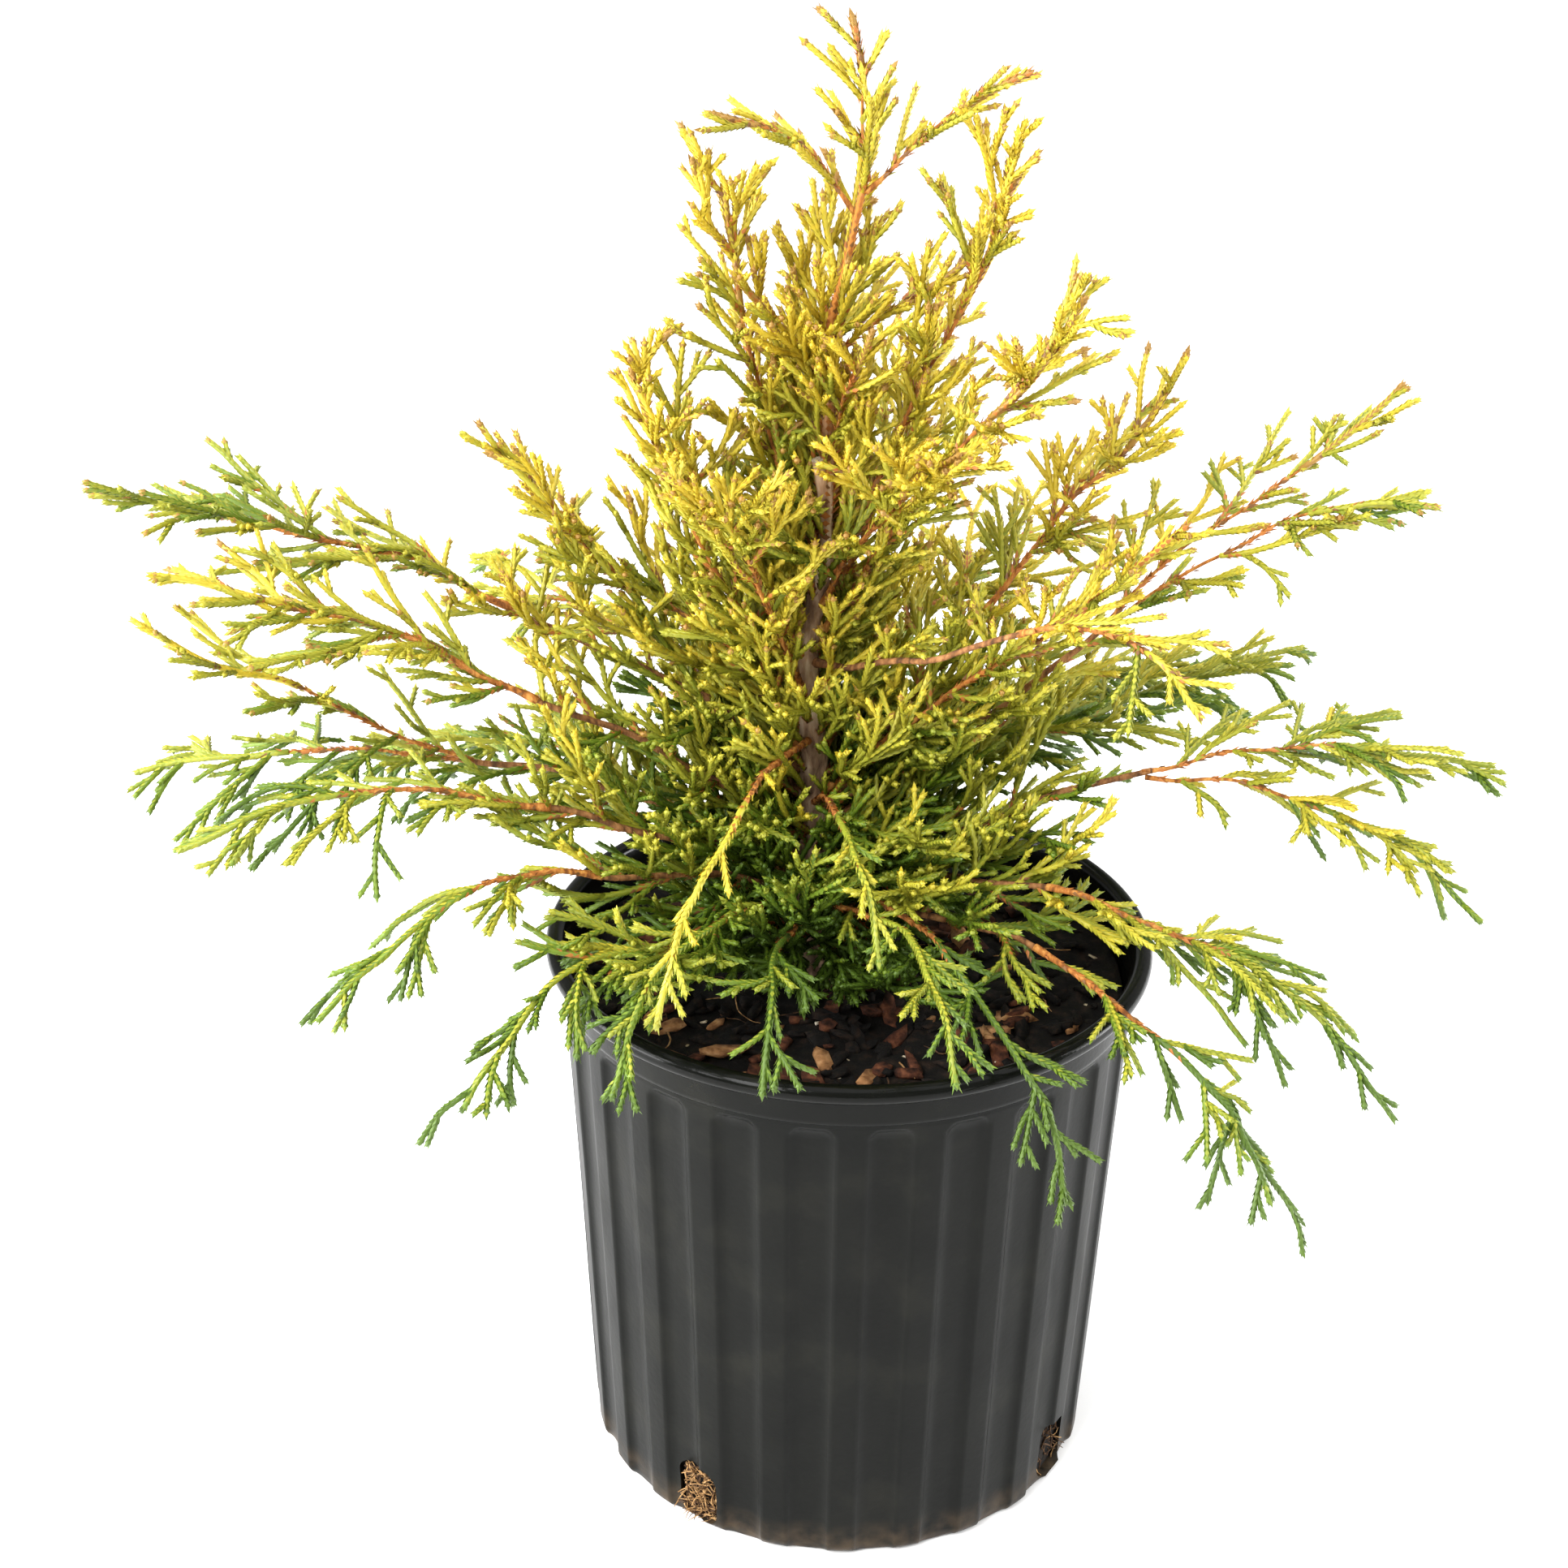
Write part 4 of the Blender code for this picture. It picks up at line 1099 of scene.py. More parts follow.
class Surface:
    """A material, with short ways to add nodes to it."""

    def __init__(self, name, colour, roughness, specular=0.5):
        self.material = bpy.data.materials.new(name)
        self.material.use_nodes = True
        self.material.diffuse_color = (*colour, 1)
        self.tree = self.material.node_tree
        self.where = self.node("TexCoord", "Object", {})
        self.shade({"Base Color": (*colour, 1), "Roughness": roughness, "Specular IOR Level": specular})

    def fill(self, node, inputs):
        """Gives a node its inputs, each a value or the output of another node."""
        for key, value in inputs.items():
            if isinstance(value, bpy.types.NodeSocket):
                self.tree.links.new(value, node.inputs[key])
            else:
                node.inputs[key].default_value = value

    def shade(self, inputs):
        """Gives the shader its inputs."""
        self.fill(self.tree.nodes["Principled BSDF"], inputs)

    def node(self, kind, output, inputs, **settings):
        """The output of a new node."""
        node = self.tree.nodes.new("ShaderNode" + kind)
        for key, value in settings.items():
            setattr(node, key, value)
        self.fill(node, inputs)
        return node.outputs[output]

    def grain(self, scale, detail, stretch=None):
        """A noise texture, drawn out along an axis where stretch gives factors."""
        where = self.where
        if stretch:
            where = self.node("Mapping", "Vector", {"Vector": where, "Scale": stretch})
        return self.node("TexNoise", "Fac", {"Vector": where, "Scale": scale, "Detail": detail})

    def ramp(self, value, places, colours):
        """Colours over a value, each from its place."""
        ramp = self.tree.nodes.new("ShaderNodeValToRGB")
        elements = ramp.color_ramp.elements
        while len(elements) < len(places):
            elements.new(0.5)
        for element, position, colour in zip(elements, places, colours):
            element.position = position
            element.color = (*colour, 1)
        self.fill(ramp, {"Fac": value})
        return ramp.outputs["Color"]

    def span(self, value, ends, start=GRAIN_SPAN):
        """A value brought from one range to another."""
        inputs = {"Value": value, "From Min": start[0], "From Max": start[1],
                  "To Min": ends[0], "To Max": ends[1]}
        return self.node("MapRange", "Result", inputs)

    def rise(self):
        """The height on the object."""
        return self.node("SeparateXYZ", "Z", {"Vector": self.where})

    def blend(self, factor, first, second, kind):
        """A mix of two values of a kind."""
        return self.node("Mix", "Result", {"Factor": factor, "A": first, "B": second}, data_type=kind)

    def relief(self, height, depth, strength):
        """Bumps from a height value."""
        inputs = {"Height": height, "Distance": depth, "Strength": strength}
        self.shade({"Normal": self.node("Bump", "Normal", inputs)})


def leaf_surface(name, colour):
    """Waxy scale leaves of one colour, with a fine grain."""
    surface = Surface(name, colour, LEAF_ROUGHNESS[0])
    grain = surface.grain(LEAF_GRAIN, 2)
    surface.shade({"Roughness": surface.span(grain, LEAF_ROUGHNESS)})
    surface.relief(grain, *LEAF_RELIEF)
    return surface.material


def mottled_surface(name, finish, scale, colours, young=None):
    """A finish in three colours; young is the colour near the top of a trunk."""
    surface = Surface(name, colours[1], finish.rough[0], finish.specular)
    grain = surface.grain(scale, finish.detail, finish.stretch)
    colour = surface.ramp(grain, finish.places, colours)
    if young:
        high = surface.span(surface.rise(), (0, 1), YOUNG_SPAN)
        colour = surface.blend(high, colour, (*young, 1), "RGBA")
    surface.shade({"Base Color": colour, "Roughness": surface.span(grain, finish.rough)})
    relief = surface.grain(scale * finish.finer, finish.detail, finish.relief_stretch)
    surface.relief(relief, finish.depth, finish.strength)
    return surface.material


def plastic_surface():
    """Black moulded plastic with faint mottling, scuffs, dust towards the foot and a glossier rim."""
    surface = Surface("nursery_plastic", PLASTIC_COLOURS[1], WALL_ROUGHNESS[1], PLASTIC_SPECULAR)
    mottling = surface.ramp(surface.grain(PLASTIC_GRAIN, 5), PLASTIC_PLACES, PLASTIC_COLOURS)
    spots = surface.span(surface.grain(DUST_GRAIN, 5), (0, DUST_MOST))
    rise = surface.rise()
    low = surface.span(rise, (0, 1), (DUST_TOP, 0))
    dust = surface.node("Math", "Value", {0: low, 1: spots}, operation="MULTIPLY")
    scuffs = surface.span(surface.grain(SCUFF_GRAIN, 6, SCUFF_STRETCH), WALL_ROUGHNESS)
    surface.shade({
        "Base Color": surface.blend(dust, mottling, (*DUST_COLOUR, 1), "RGBA"),
        "Roughness": surface.blend(surface.span(rise, (0, 1), GLOSS_SPAN), scuffs, RIM_GLOSS, "FLOAT"),
    })
    surface.relief(surface.grain(FINE_GRAIN, 3), *PLASTIC_RELIEF)
    return surface.material


def ground_surface():
    """A pale matt ground."""
    surface = Surface("pale_ground", GROUND_COLOUR, GROUND_ROUGHNESS[0])
    surface.shade({"Roughness": surface.span(surface.grain(GROUND_GRAIN, 3), GROUND_ROUGHNESS)})
    return surface.material


# The pot

# Flutes: half width as a share of their spacing, corner radius, space under the band, how squarely
# they bottom out, rounding of their edge, the height where their tops begin, and the wall's unevenness
FLUTE_HALF = 0.315
FLUTE_CORNER = 0.0055
FLUTE_GAP = 0.0015
FLUTE_SQUARE = 3.6
FLUTE_EDGE = 0.0007
FLUTE_BEND = 0.190
WALL_WAVE = 0.00035
WALL_TURNS = 1.8
WALL_RISE = 14
# The columns of half a flute, as shares of the spacing
COLUMN_SHARES = (0.0, 0.08, 0.14, 0.17, 0.19, 0.205, 0.22, 0.235, 0.25, 0.265, 0.28, 0.31, 0.36, 0.42, 0.5)
# Rings: of the base, as a share of its flat part and a height; turns of the rounded foot and the rolled
# rim in degrees; and how far out from the body or the band, and how high over the flutes
BASE_RINGS = ((0.30, 0.0014), (0.60, 0.0014), (0.88, 0.0014), (0.93, 0.0), (0.97, 0.0))
FOOT_TURNS = range(0, 90, 18)
FOOT_EASE = 70
ROLL_TURNS = range(-75, 166, 15)
LAND_RINGS = ((0, 0), (0.0001, 0.0005))
BAND_RINGS = ((-0.0003, 0.0008), (0, 0.0012), (0.0001, 0.0025), (0.0003, 0.006))
NECK_INSET = 0.0008
NECK_DROP = 0.0002
INNER_SPREAD = 0.0012
SHARP_ANGLE = 50


def wall_radius(height):
    """The body's outer radius on a land between two flutes."""
    share = (height - FOOT_ROUND) / (FLUTE_TOP - FOOT_ROUND)
    return BODY_FOOT_RADIUS + (BODY_TOP_RADIUS - BODY_FOOT_RADIUS) * share


def inner_radius(height):
    """The smooth inner wall's radius, clear of the flutes."""
    return wall_radius(height) - FLUTE_DEPTH - WALL


def ease(value):
    """A smooth step from 0 to 1."""
    value = np.clip(value, 0, 1)
    return value * value * (3 - 2 * value)


def flute_inset(angles, radius, height):
    """How far the wall is set back at a height: recesses with rounded tops."""
    pitch = math.tau / FLUTES
    offset = (angles + math.pi / 2) % pitch - pitch / 2
    across = np.abs(offset) * radius
    half = FLUTE_HALF * pitch * radius
    over = np.maximum(height - (FLUTE_TOP - FLUTE_GAP - FLUTE_CORNER), 0)
    beyond = np.maximum(across - (half - FLUTE_CORNER), 0)
    inside = np.minimum(half - across, np.where(over > 0, FLUTE_CORNER - np.hypot(beyond, over), half))
    depth = np.clip(inside / half, 0, 1)
    return FLUTE_DEPTH * (1 - (1 - depth) ** FLUTE_SQUARE) * ease(inside / FLUTE_EDGE)


def pot_columns():
    """Compass angles of the pot's columns, close together at the edges of the flutes."""
    pitch = math.tau / FLUTES
    turns = np.array([-share for share in COLUMN_SHARES[:0:-1]] + list(COLUMN_SHARES[:-1]))
    return np.concatenate([-math.pi / 2 + (flute + 0.5 + turns) * pitch for flute in range(FLUTES)])


def body_rings(angles, circle):
    """Radius and height of each ring of the base and the fluted body, from the middle out and up."""
    flat = BODY_FOOT_RADIUS - FOOT_ROUND
    for share, height in BASE_RINGS:
        yield flat * share, height
    for degrees in FOOT_TURNS:
        turn = math.radians(degrees)
        height = FOOT_ROUND * (1 - math.cos(turn))
        deep = flute_inset(angles, BODY_FOOT_RADIUS, height) * ease(degrees / FOOT_EASE)
        yield flat + FOOT_ROUND * math.sin(turn) - deep, height
    plain = np.linspace(FOOT_ROUND, FLUTE_BEND, 30)
    for level in np.append(plain, np.linspace(FLUTE_BEND + 0.0005, FLUTE_TOP - 0.001, 12)):
        wave = np.array([noise.noise(Vector((x, y, level * WALL_RISE))) for x, y in circle * WALL_TURNS])
        radius = wall_radius(level)
        yield radius - flute_inset(angles, radius, level) + WALL_WAVE * wave, level


def rim_rings():
    """Radius and height of each ring of the band, the rolled rim, the inside and the floor."""
    band = BODY_TOP_RADIUS + BAND_PROUD
    roll_foot = POT_HEIGHT - 2 * ROLL
    for out, rise in LAND_RINGS:
        yield BODY_TOP_RADIUS + out, FLUTE_TOP + rise
    for out, rise in BAND_RINGS:
        yield band + out, FLUTE_TOP + rise
    yield band + BAND_SPREAD, roll_foot - ROLL_NECK
    yield band + BAND_SPREAD - NECK_INSET, roll_foot - NECK_DROP
    for degrees in ROLL_TURNS:
        turn = math.radians(degrees)
        yield RIM_RADIUS - ROLL * (1 - math.cos(turn)), POT_HEIGHT - ROLL * (1 - math.sin(turn))
    inner_top = inner_radius(roll_foot) + INNER_SPREAD
    for share in np.linspace(0, 1, 10):
        yield mix(inner_top, inner_radius(FOOT_ROUND), share), mix(roll_foot, FOOT_ROUND, share)
    for share in (1, 0.5):
        yield (BODY_FOOT_RADIUS - FOOT_ROUND) * share, FLOOR


def make_pot(surface):
    """The fluted pot with its rolled rim and four drain holes at the lower corner."""
    angles = pot_columns()
    count = len(angles)
    circle = np.stack([np.cos(angles), np.sin(angles)], 1)
    rows = [np.column_stack([circle * np.broadcast_to(radius, count)[:, None], np.full(count, height)])
            for radius, height in (*body_rings(angles, circle), *rim_rings())]
    vertices = np.vstack(rows + [[(0, 0, BASE_RINGS[0][1])], [(0, 0, FLOOR)]])
    faces = np.stack(ring_cells(len(rows), count), -1).reshape(-1, 4).tolist()
    here, after = ring_pairs(count)
    last = (len(rows) - 1) * count
    foot, floor = len(vertices) - 2, len(vertices) - 1
    faces += np.stack([triangles_of(foot, after, here), triangles_of(floor, last + here, last + after)],
                      1).reshape(-1, 3).tolist()
    mesh = bpy.data.meshes.new("pot_body")
    mesh.from_pydata(vertices.tolist(), [], faces)
    mesh.shade_smooth()
    mesh.materials.append(surface)
    pot = add_object("pot_body", mesh)
    cut_drains(pot)
    pot.data.set_sharp_from_angle(angle=math.radians(SHARP_ANGLE))
    return place(pot, "pot_plastic", ("pot",))


def cut_drains(pot):
    """Cuts the drain holes out of the pot."""
    cutters = [drain_cutter(number, angle) for number, angle in enumerate(DRAIN_ANGLES)]
    for cutter in cutters:
        cut = pot.modifiers.new(cutter.name, "BOOLEAN")
        cut.operation = "DIFFERENCE"
        cut.solver = "EXACT"
        cut.object = cutter
    graph = bpy.context.evaluated_depsgraph_get()
    pot.data = bpy.data.meshes.new_from_object(pot.evaluated_get(graph))
    pot.modifiers.clear()
    for cutter in cutters:
        bpy.data.objects.remove(cutter)


def drain_cutter(number, angle):
    """A rounded, uneven block across the pot's lower corner."""
    shape = bmesh.new()
    size = Matrix.Diagonal((DRAIN_DEPTH, DRAIN_WIDTH, DRAIN_HEIGHT, 1))
    bmesh.ops.create_cube(shape, size=1, matrix=size)
    long_edges = [edge for edge in shape.edges if edge.calc_length() > DRAIN_DEPTH - GAP]
    bmesh.ops.bevel(shape, geom=long_edges, offset=DRAIN_WIDTH * DRAIN_CORNER, segments=7, affect="EDGES",
                    profile=0.5)
    for vertex in shape.verts:
        uneven = noise.noise(vertex.co * DRAIN_RAGGED + Vector((number * 7.0, 0, 0)))
        vertex.co += Vector((0, vertex.co.y, vertex.co.z)).normalized() * (DRAIN_UNEVEN * uneven)
    tilt = Matrix.Rotation(math.radians(DRAIN_TILT), 4, "Y")
    away = Matrix.Translation((BODY_FOOT_RADIUS, 0, DRAIN_HEIGHT * DRAIN_LIFT))
    turn = Matrix.Rotation(math.radians(angle), 4, "Z")
    bmesh.ops.transform(shape, matrix=turn @ away @ tilt, verts=shape.verts)
    mesh = bpy.data.meshes.new(f"drain_cutter_{number + 1}")
    shape.to_mesh(mesh)
    shape.free()
    return add_object(mesh.name, mesh)


# The potting mix

# Its unevenness, as how often and how far; how near the trunk it is level; and how low it lies
BED_WAVES = ((45, 0.0026), (150, 0.0014), (420, 0.0006))
BED_CALM = 0.02
BED_DROP = 0.0004
BED_SIDES = 144
BED_SCALE = 190
BED_COLOURS = screen((4, 3, 2), (11, 8, 5), (34, 23, 15))
BED_HUB = 0.02
# The root ball: its drop from the edge, where its rings are closer, its lift from the floor, and how
# far and how unevenly it stays inside the wall
BALL_DROP = 0.006
BALL_FINE = 0.055
BALL_LIFT = 0.001
BALL_INSET = 0.0009
BALL_UNEVEN = 0.0016
TRUNK_FOOT = Vector((*TRUNK_LINE[0][:2], 0))


def bed_height(x, y):
    """The potting mix's uneven top, level at the trunk's foot."""
    here = Vector((x, y, 0))
    rough = sum(far * noise.noise(here * often) for often, far in BED_WAVES)
    calm = min(1, (here - TRUNK_FOOT).length / BED_CALM)
    return SOIL_LEVEL + rough * calm - BED_DROP


def make_bed(surface):
    """The potting mix from its crumbly top down the sides of the root ball."""
    turns = math.tau * np.arange(BED_SIDES) / BED_SIDES
    spokes = [(math.cos(turn), math.sin(turn)) for turn in turns]
    edge = inner_radius(SOIL_LEVEL) - GAP
    base = FLOOR + BALL_LIFT
    rows = []
    for share in np.linspace(BED_HUB, 1, 44):
        reach = edge * share
        rows.append([(reach * x, reach * y, bed_height(reach * x, reach * y)) for x, y in spokes])
    upper = np.linspace(SOIL_LEVEL - BALL_DROP, BALL_FINE + 0.005, 8)
    for level in np.append(upper, np.linspace(BALL_FINE, base, 16)):
        row = []
        for x, y in spokes:
            hollow = BALL_UNEVEN * min(0, noise.noise(Vector((x, y, level * 10)) * 9))
            reach = inner_radius(max(level, FOOT_ROUND)) - BALL_INSET + hollow
            row.append((reach * x, reach * y, level))
        rows.append(row)
    rows.append([(BED_HUB * x, BED_HUB * y, base) for x, y in spokes])
    vertices = np.vstack([np.array(rows).reshape(-1, 3), [[0, 0, bed_height(0, 0)]], [[0, 0, base]]])
    a, b, c, d = ring_cells(len(rows), BED_SIDES)
    here, after = ring_pairs(BED_SIDES)
    last = (len(rows) - 1) * BED_SIDES
    top, foot = len(vertices) - 2, len(vertices) - 1
    faces = np.vstack([triangles_of(a, c, b), triangles_of(a, d, c), triangles_of(top, here, after),
                       triangles_of(foot, last + after, last + here)])
    return add_piece("potting_bed", (vertices, faces), surface, "potting_mix", ("soil",))


def chip(dice, length, width, thick):
    """A splinter of bark: a flat six-cornered plate with uneven corners and a slight bend."""
    bend = dice.uniform(*CHIP_BEND) * length
    points = []
    for level in (-0.5, 0.5):
        for x, y in CHIP_CORNERS:
            x += dice.uniform(-CHIP_JAG[0], CHIP_JAG[0])
            y += dice.uniform(-CHIP_JAG[1], CHIP_JAG[1])
            lift = level * thick * dice.uniform(*CHIP_SWELL)
            points.append((x * length, y * width, lift + bend * x * x))
    points += [(0, 0, -CHIP_BULGE[0] * thick), (0, 0, CHIP_BULGE[1] * thick)]
    faces = []
    for index in range(6):
        after = (index + 1) % 6
        faces += [(index, after, 6 + after), (index, 6 + after, 6 + index), (12, after, index),
                  (13, 6 + index, 6 + after)]
    return np.array(points), np.array(faces)


def lying(dice, x, y, lift, slant):
    """A turn and a place for something that lies on the potting mix."""
    turn = Matrix.Rotation(dice.uniform(0, math.tau), 4, "Z")
    tilt = Matrix.Rotation(dice.gauss(0, slant), 4, "X") @ Matrix.Rotation(dice.gauss(0, slant), 4, "Y")
    return Matrix.Translation((x, y, bed_height(x, y) + lift)) @ turn @ tilt


def moved(matrix, points):
    """Points carried by a matrix."""
    matrix = np.array(matrix)
    return points @ matrix[:3, :3].T + matrix[:3, 3]


# Chips: how many, from how short to how long, and their colours
CHIPS = {
    "chips_dark": (380, (0.004, 0.013), screen((5, 4, 3), (13, 9, 6), (36, 24, 15))),
    "chips_red": (96, (0.006, 0.017), screen((34, 18, 11), (74, 41, 26), (112, 68, 44))),
    "chips_tan": (22, (0.006, 0.020), screen((104, 70, 42), (146, 104, 66), (180, 138, 94))),
    "flecks_pale": (46, (0.0016, 0.0036), screen((150, 132, 104), (190, 176, 150), (220, 210, 190))),
}
CHIP_CORNERS = ((-0.5, -0.2), (-0.25, -0.5), (0.3, -0.45), (0.5, 0.1), (0.2, 0.5), (-0.35, 0.4))
CHIP_BEND = (-0.15, 0.25)
CHIP_JAG = (0.14, 0.18)
CHIP_SWELL = (0.6, 1.3)
CHIP_BULGE = (0.6, 0.62)
CHIP_THICK = (0.14, 0.26)
CHIP_THICKEST = 0.0022
CHIP_SUNK = 0.45
CHIP_SLIM = (0.3, 0.62)
SLIVER_SLIM = 0.34
CHIP_SLANT = 0.28
CHIP_MARGIN = 0.004
TRUNK_CLEARING = 0.012
CHIP_SCALE = 260
ROOT_SCALE = 500


def make_chips():
    """Bark chips, tan slivers and pale flecks strewn over the potting mix."""
    limit = inner_radius(SOIL_LEVEL) - CHIP_MARGIN
    for name, (count, sizes, colours) in CHIPS.items():
        dice = random.Random(name)
        parts = []
        while len(parts) < count:
            reach, turn = limit * math.sqrt(dice.random()), dice.uniform(0, math.tau)
            x, y = reach * math.cos(turn), reach * math.sin(turn)
            if math.hypot(x - TRUNK_FOOT.x, y) < TRUNK_CLEARING:
                continue
            length = dice.uniform(*sizes)
            if reach + length / 2 > limit + CHIP_MARGIN / 2:
                continue
            slim = SLIVER_SLIM if name == "chips_tan" else dice.uniform(*CHIP_SLIM)
            thick = min(CHIP_THICKEST, length * dice.uniform(*CHIP_THICK))
            points, faces = chip(dice, length, length * slim, thick)
            parts.append((moved(lying(dice, x, y, thick * CHIP_SUNK, CHIP_SLANT), points), faces))
        add_piece(name, joined(parts), mottled_surface(name, CRUMBS, CHIP_SCALE, colours), "potting_mix")


# Thin roots on the potting mix: how many, length, thickness and height over it
FIBRES = 46
FIBRE_LENGTH = (0.010, 0.030)
FIBRE_THICK = (0.0002, 0.00045)
FIBRE_LIFT = 0.0009
FIBRE_UNEVEN = 0.0006
FIBRE_BEND = 0.35
FIBRE_STEP = 0.003
FIBRE_MARGIN = 0.006
# Matted roots in a drain hole: how many, how far out from the inner wall, and how many are pale
Mat = namedtuple("Mat", "count depth pale")
FULL_MAT = Mat(230, (-0.0015, 0.0022), 0.62)
THIN_MAT = Mat(90, (-0.0035, 0.0004), 0.22)
MATS = (FULL_MAT, THIN_MAT, FULL_MAT, THIN_MAT)
MAT_LEVELS = (0.003, 0.0285)
MAT_HALF = 0.0085
MAT_LENGTH = (0.004, 0.012)
MAT_THICK = (0.00022, 0.0005)
MAT_MARGIN = 0.0003
# Their headings along the wall, up and out, each as a middle and a spread
MAT_HEADINGS = ((0, 1), (-0.2, 0.8), (0, 0.16))
MAT_BEND = 0.3
MAT_STEP = 0.0018
ROOT_COLOURS = {
    "roots_tan": screen((112, 82, 50), (152, 116, 74), (186, 150, 104)),
    "roots_dark": screen((44, 30, 20), (76, 54, 36), (104, 78, 52)),
}


def wander(dice, start, heading, length, bend, step):
    """A line that wanders as it goes."""
    points = [np.array(start, dtype=float)]
    heading = np.array(heading, dtype=float)
    for _ in range(max(2, round(length / step))):
        heading = unit(heading + np.array([dice.gauss(0, bend) for _ in range(3)]))
        points.append(points[-1] + heading * step)
    return np.array(points)


def fibre(line, thick):
    """A thin root along a line."""
    points, places = smooth_line(line, 0.002)
    radii = thick * (1 - 0.5 * places / places[-1])
    return tube(points, upper_sides(headings_of(points)), radii, 4)


def strewn_fibres(dice, pale, dark):
    """Adds thin roots on the potting mix to the pale or the dark ones."""
    limit = inner_radius(SOIL_LEVEL) - FIBRE_MARGIN
    for _ in range(FIBRES):
        reach, turn = limit * math.sqrt(dice.random()), dice.uniform(0, math.tau)
        start = (reach * math.cos(turn), reach * math.sin(turn), 0)
        heading = (math.cos(turn + dice.uniform(1, 5)), math.sin(turn), 0)
        line = wander(dice, start, heading, dice.uniform(*FIBRE_LENGTH), FIBRE_BEND, FIBRE_STEP)
        line = line[np.hypot(line[:, 0], line[:, 1]) < limit]
        if len(line) < 3:
            continue
        line[:, 2] = [bed_height(x, y) + FIBRE_LIFT + FIBRE_UNEVEN * dice.random() for x, y, _ in line]
        (pale if dice.random() < 0.5 else dark).append(fibre(line, dice.uniform(*FIBRE_THICK)))


def matted_fibres(dice, angle, mat, pale, dark):
    """Adds the matted roots of a drain hole to the pale or the dark ones."""
    turn = math.radians(angle)
    out = np.array((math.cos(turn), math.sin(turn), 0))
    along = np.array((-math.sin(turn), math.cos(turn), 0))
    for _ in range(mat.count):
        level = dice.uniform(*MAT_LEVELS)
        side = dice.uniform(-MAT_HALF, MAT_HALF)
        depth = inner_radius(max(level, FOOT_ROUND)) + dice.uniform(*mat.depth)
        start = out * depth + along * side + UP * level
        ways = zip((along, UP, out), MAT_HEADINGS)
        heading = sum(way * dice.gauss(*spread) for way, spread in ways)
        line = wander(dice, start, heading, dice.uniform(*MAT_LENGTH), MAT_BEND, MAT_STEP)
        local = np.abs(line @ along) < MAT_HALF + MAT_MARGIN
        line = line[local & (line[:, 2] > MAT_LEVELS[0] / 2) & (line[:, 2] < MAT_LEVELS[1] + 0.001)]
        if len(line) > 2:
            (pale if dice.random() < mat.pale else dark).append(fibre(line, dice.uniform(*MAT_THICK)))


def make_fibres():
    """Thin roots on the potting mix, and the matted roots that show in the drain holes."""
    dice = random.Random("fibres")
    pale, dark = [], []
    strewn_fibres(dice, pale, dark)
    for angle, mat in zip(DRAIN_ANGLES, MATS):
        matted_fibres(dice, angle, mat, pale, dark)
    for (name, colours), parts in zip(ROOT_COLOURS.items(), (pale, dark)):
        add_piece(name, joined(parts), mottled_surface(name, CRUMBS, ROOT_SCALE, colours), "potting_mix")


# Trunk, boughs and stems

# Bark relief: how closely its furrows and knobs follow each other round a limb and along it
FURROW_TURNS = 700
FURROW_RISE = 190
KNOB_TURNS = 1.6
KNOB_RISE = 260
KNOB_SHARE = 0.9
# The skin of a kind of limb: sides, spacing of rings, roughness, collar at the root, and how far apart
# the reliefs of two limbs are
Skin = namedtuple("Skin", "sides step rough collar apart")
TRUNK_SKIN = Skin(28, 0.0012, 0.10, 0.10, 0)
BOUGH_SKIN = Skin(12, 0.0012, 0.13, 0.5, 3.7)
STEM_SKIN = Skin(7, 0.002, 0.12, 0.4, 5.3)
STEM_END = 0.0004
LIMB_BACK = 0.004
COLLAR_LENGTH = 0.004


def bark_relief(points, radii, count, rough, seed=0.0):
    """Radii round each ring with furrows along the limb and knobs."""
    spokes = [(math.cos(angle), math.sin(angle)) for angle in math.tau * np.arange(count) / count]
    ring = np.repeat(np.asarray(radii)[:, None], count, axis=1)
    along = 0.0
    for row, base in enumerate(radii):
        along += np.linalg.norm(points[row] - points[row - 1]) if row else 0.0
        wide = FURROW_TURNS * base
        for column, (x, y) in enumerate(spokes):
            furrow = noise.noise(Vector((wide * x, wide * y + seed, along * FURROW_RISE)))
            knob = noise.noise(Vector((KNOB_TURNS * x + seed, KNOB_TURNS * y, along * KNOB_RISE)))
            ring[row, column] = base * (1 + rough * (furrow + KNOB_SHARE * knob))
    return ring


def limb(path, root, tip, skin, number):
    """A limb's skin with relief, begun a little way back inside what carries it."""
    points, places = smooth_line(path.points, skin.step)
    lead = unit(points[1] - points[0])
    steps = max(1, round(LIMB_BACK / skin.step))
    before = [points[0] - lead * (skin.step * back) for back in range(steps, 0, -1)]
    points = np.vstack([before, points])
    places = np.concatenate([[0] * steps, places])
    radii = mix(root, tip, places / places[-1]) + skin.collar * root * np.exp(-places / COLLAR_LENGTH)
    relief = bark_relief(points, radii, skin.sides, skin.rough, number * skin.apart)
    return tube(points, carried_sides(headings_of(points)), relief, skin.sides)


# Bark: how slim the visible trunk is low down and high up, and the grain and colours of the limbs
TRUNK_SLIM = (0.86, 0.60)
TRUNK_SLIM_FROM = 0.33
TRUNK_SLIM_SPAN = 0.12
TRUNK_COLOURS = screen((108, 82, 62), (160, 130, 104), (198, 174, 146))
YOUNG_COLOUR = srgb(190, 124, 54)
BOUGH_COLOURS = screen((72, 48, 29), (122, 80, 45), (158, 112, 68))
STEM_COLOURS = screen((104, 60, 26), (162, 100, 42), (196, 140, 70))
TRUNK_GRAIN = 260
BOUGH_GRAIN = 420
STEM_GRAIN = 480
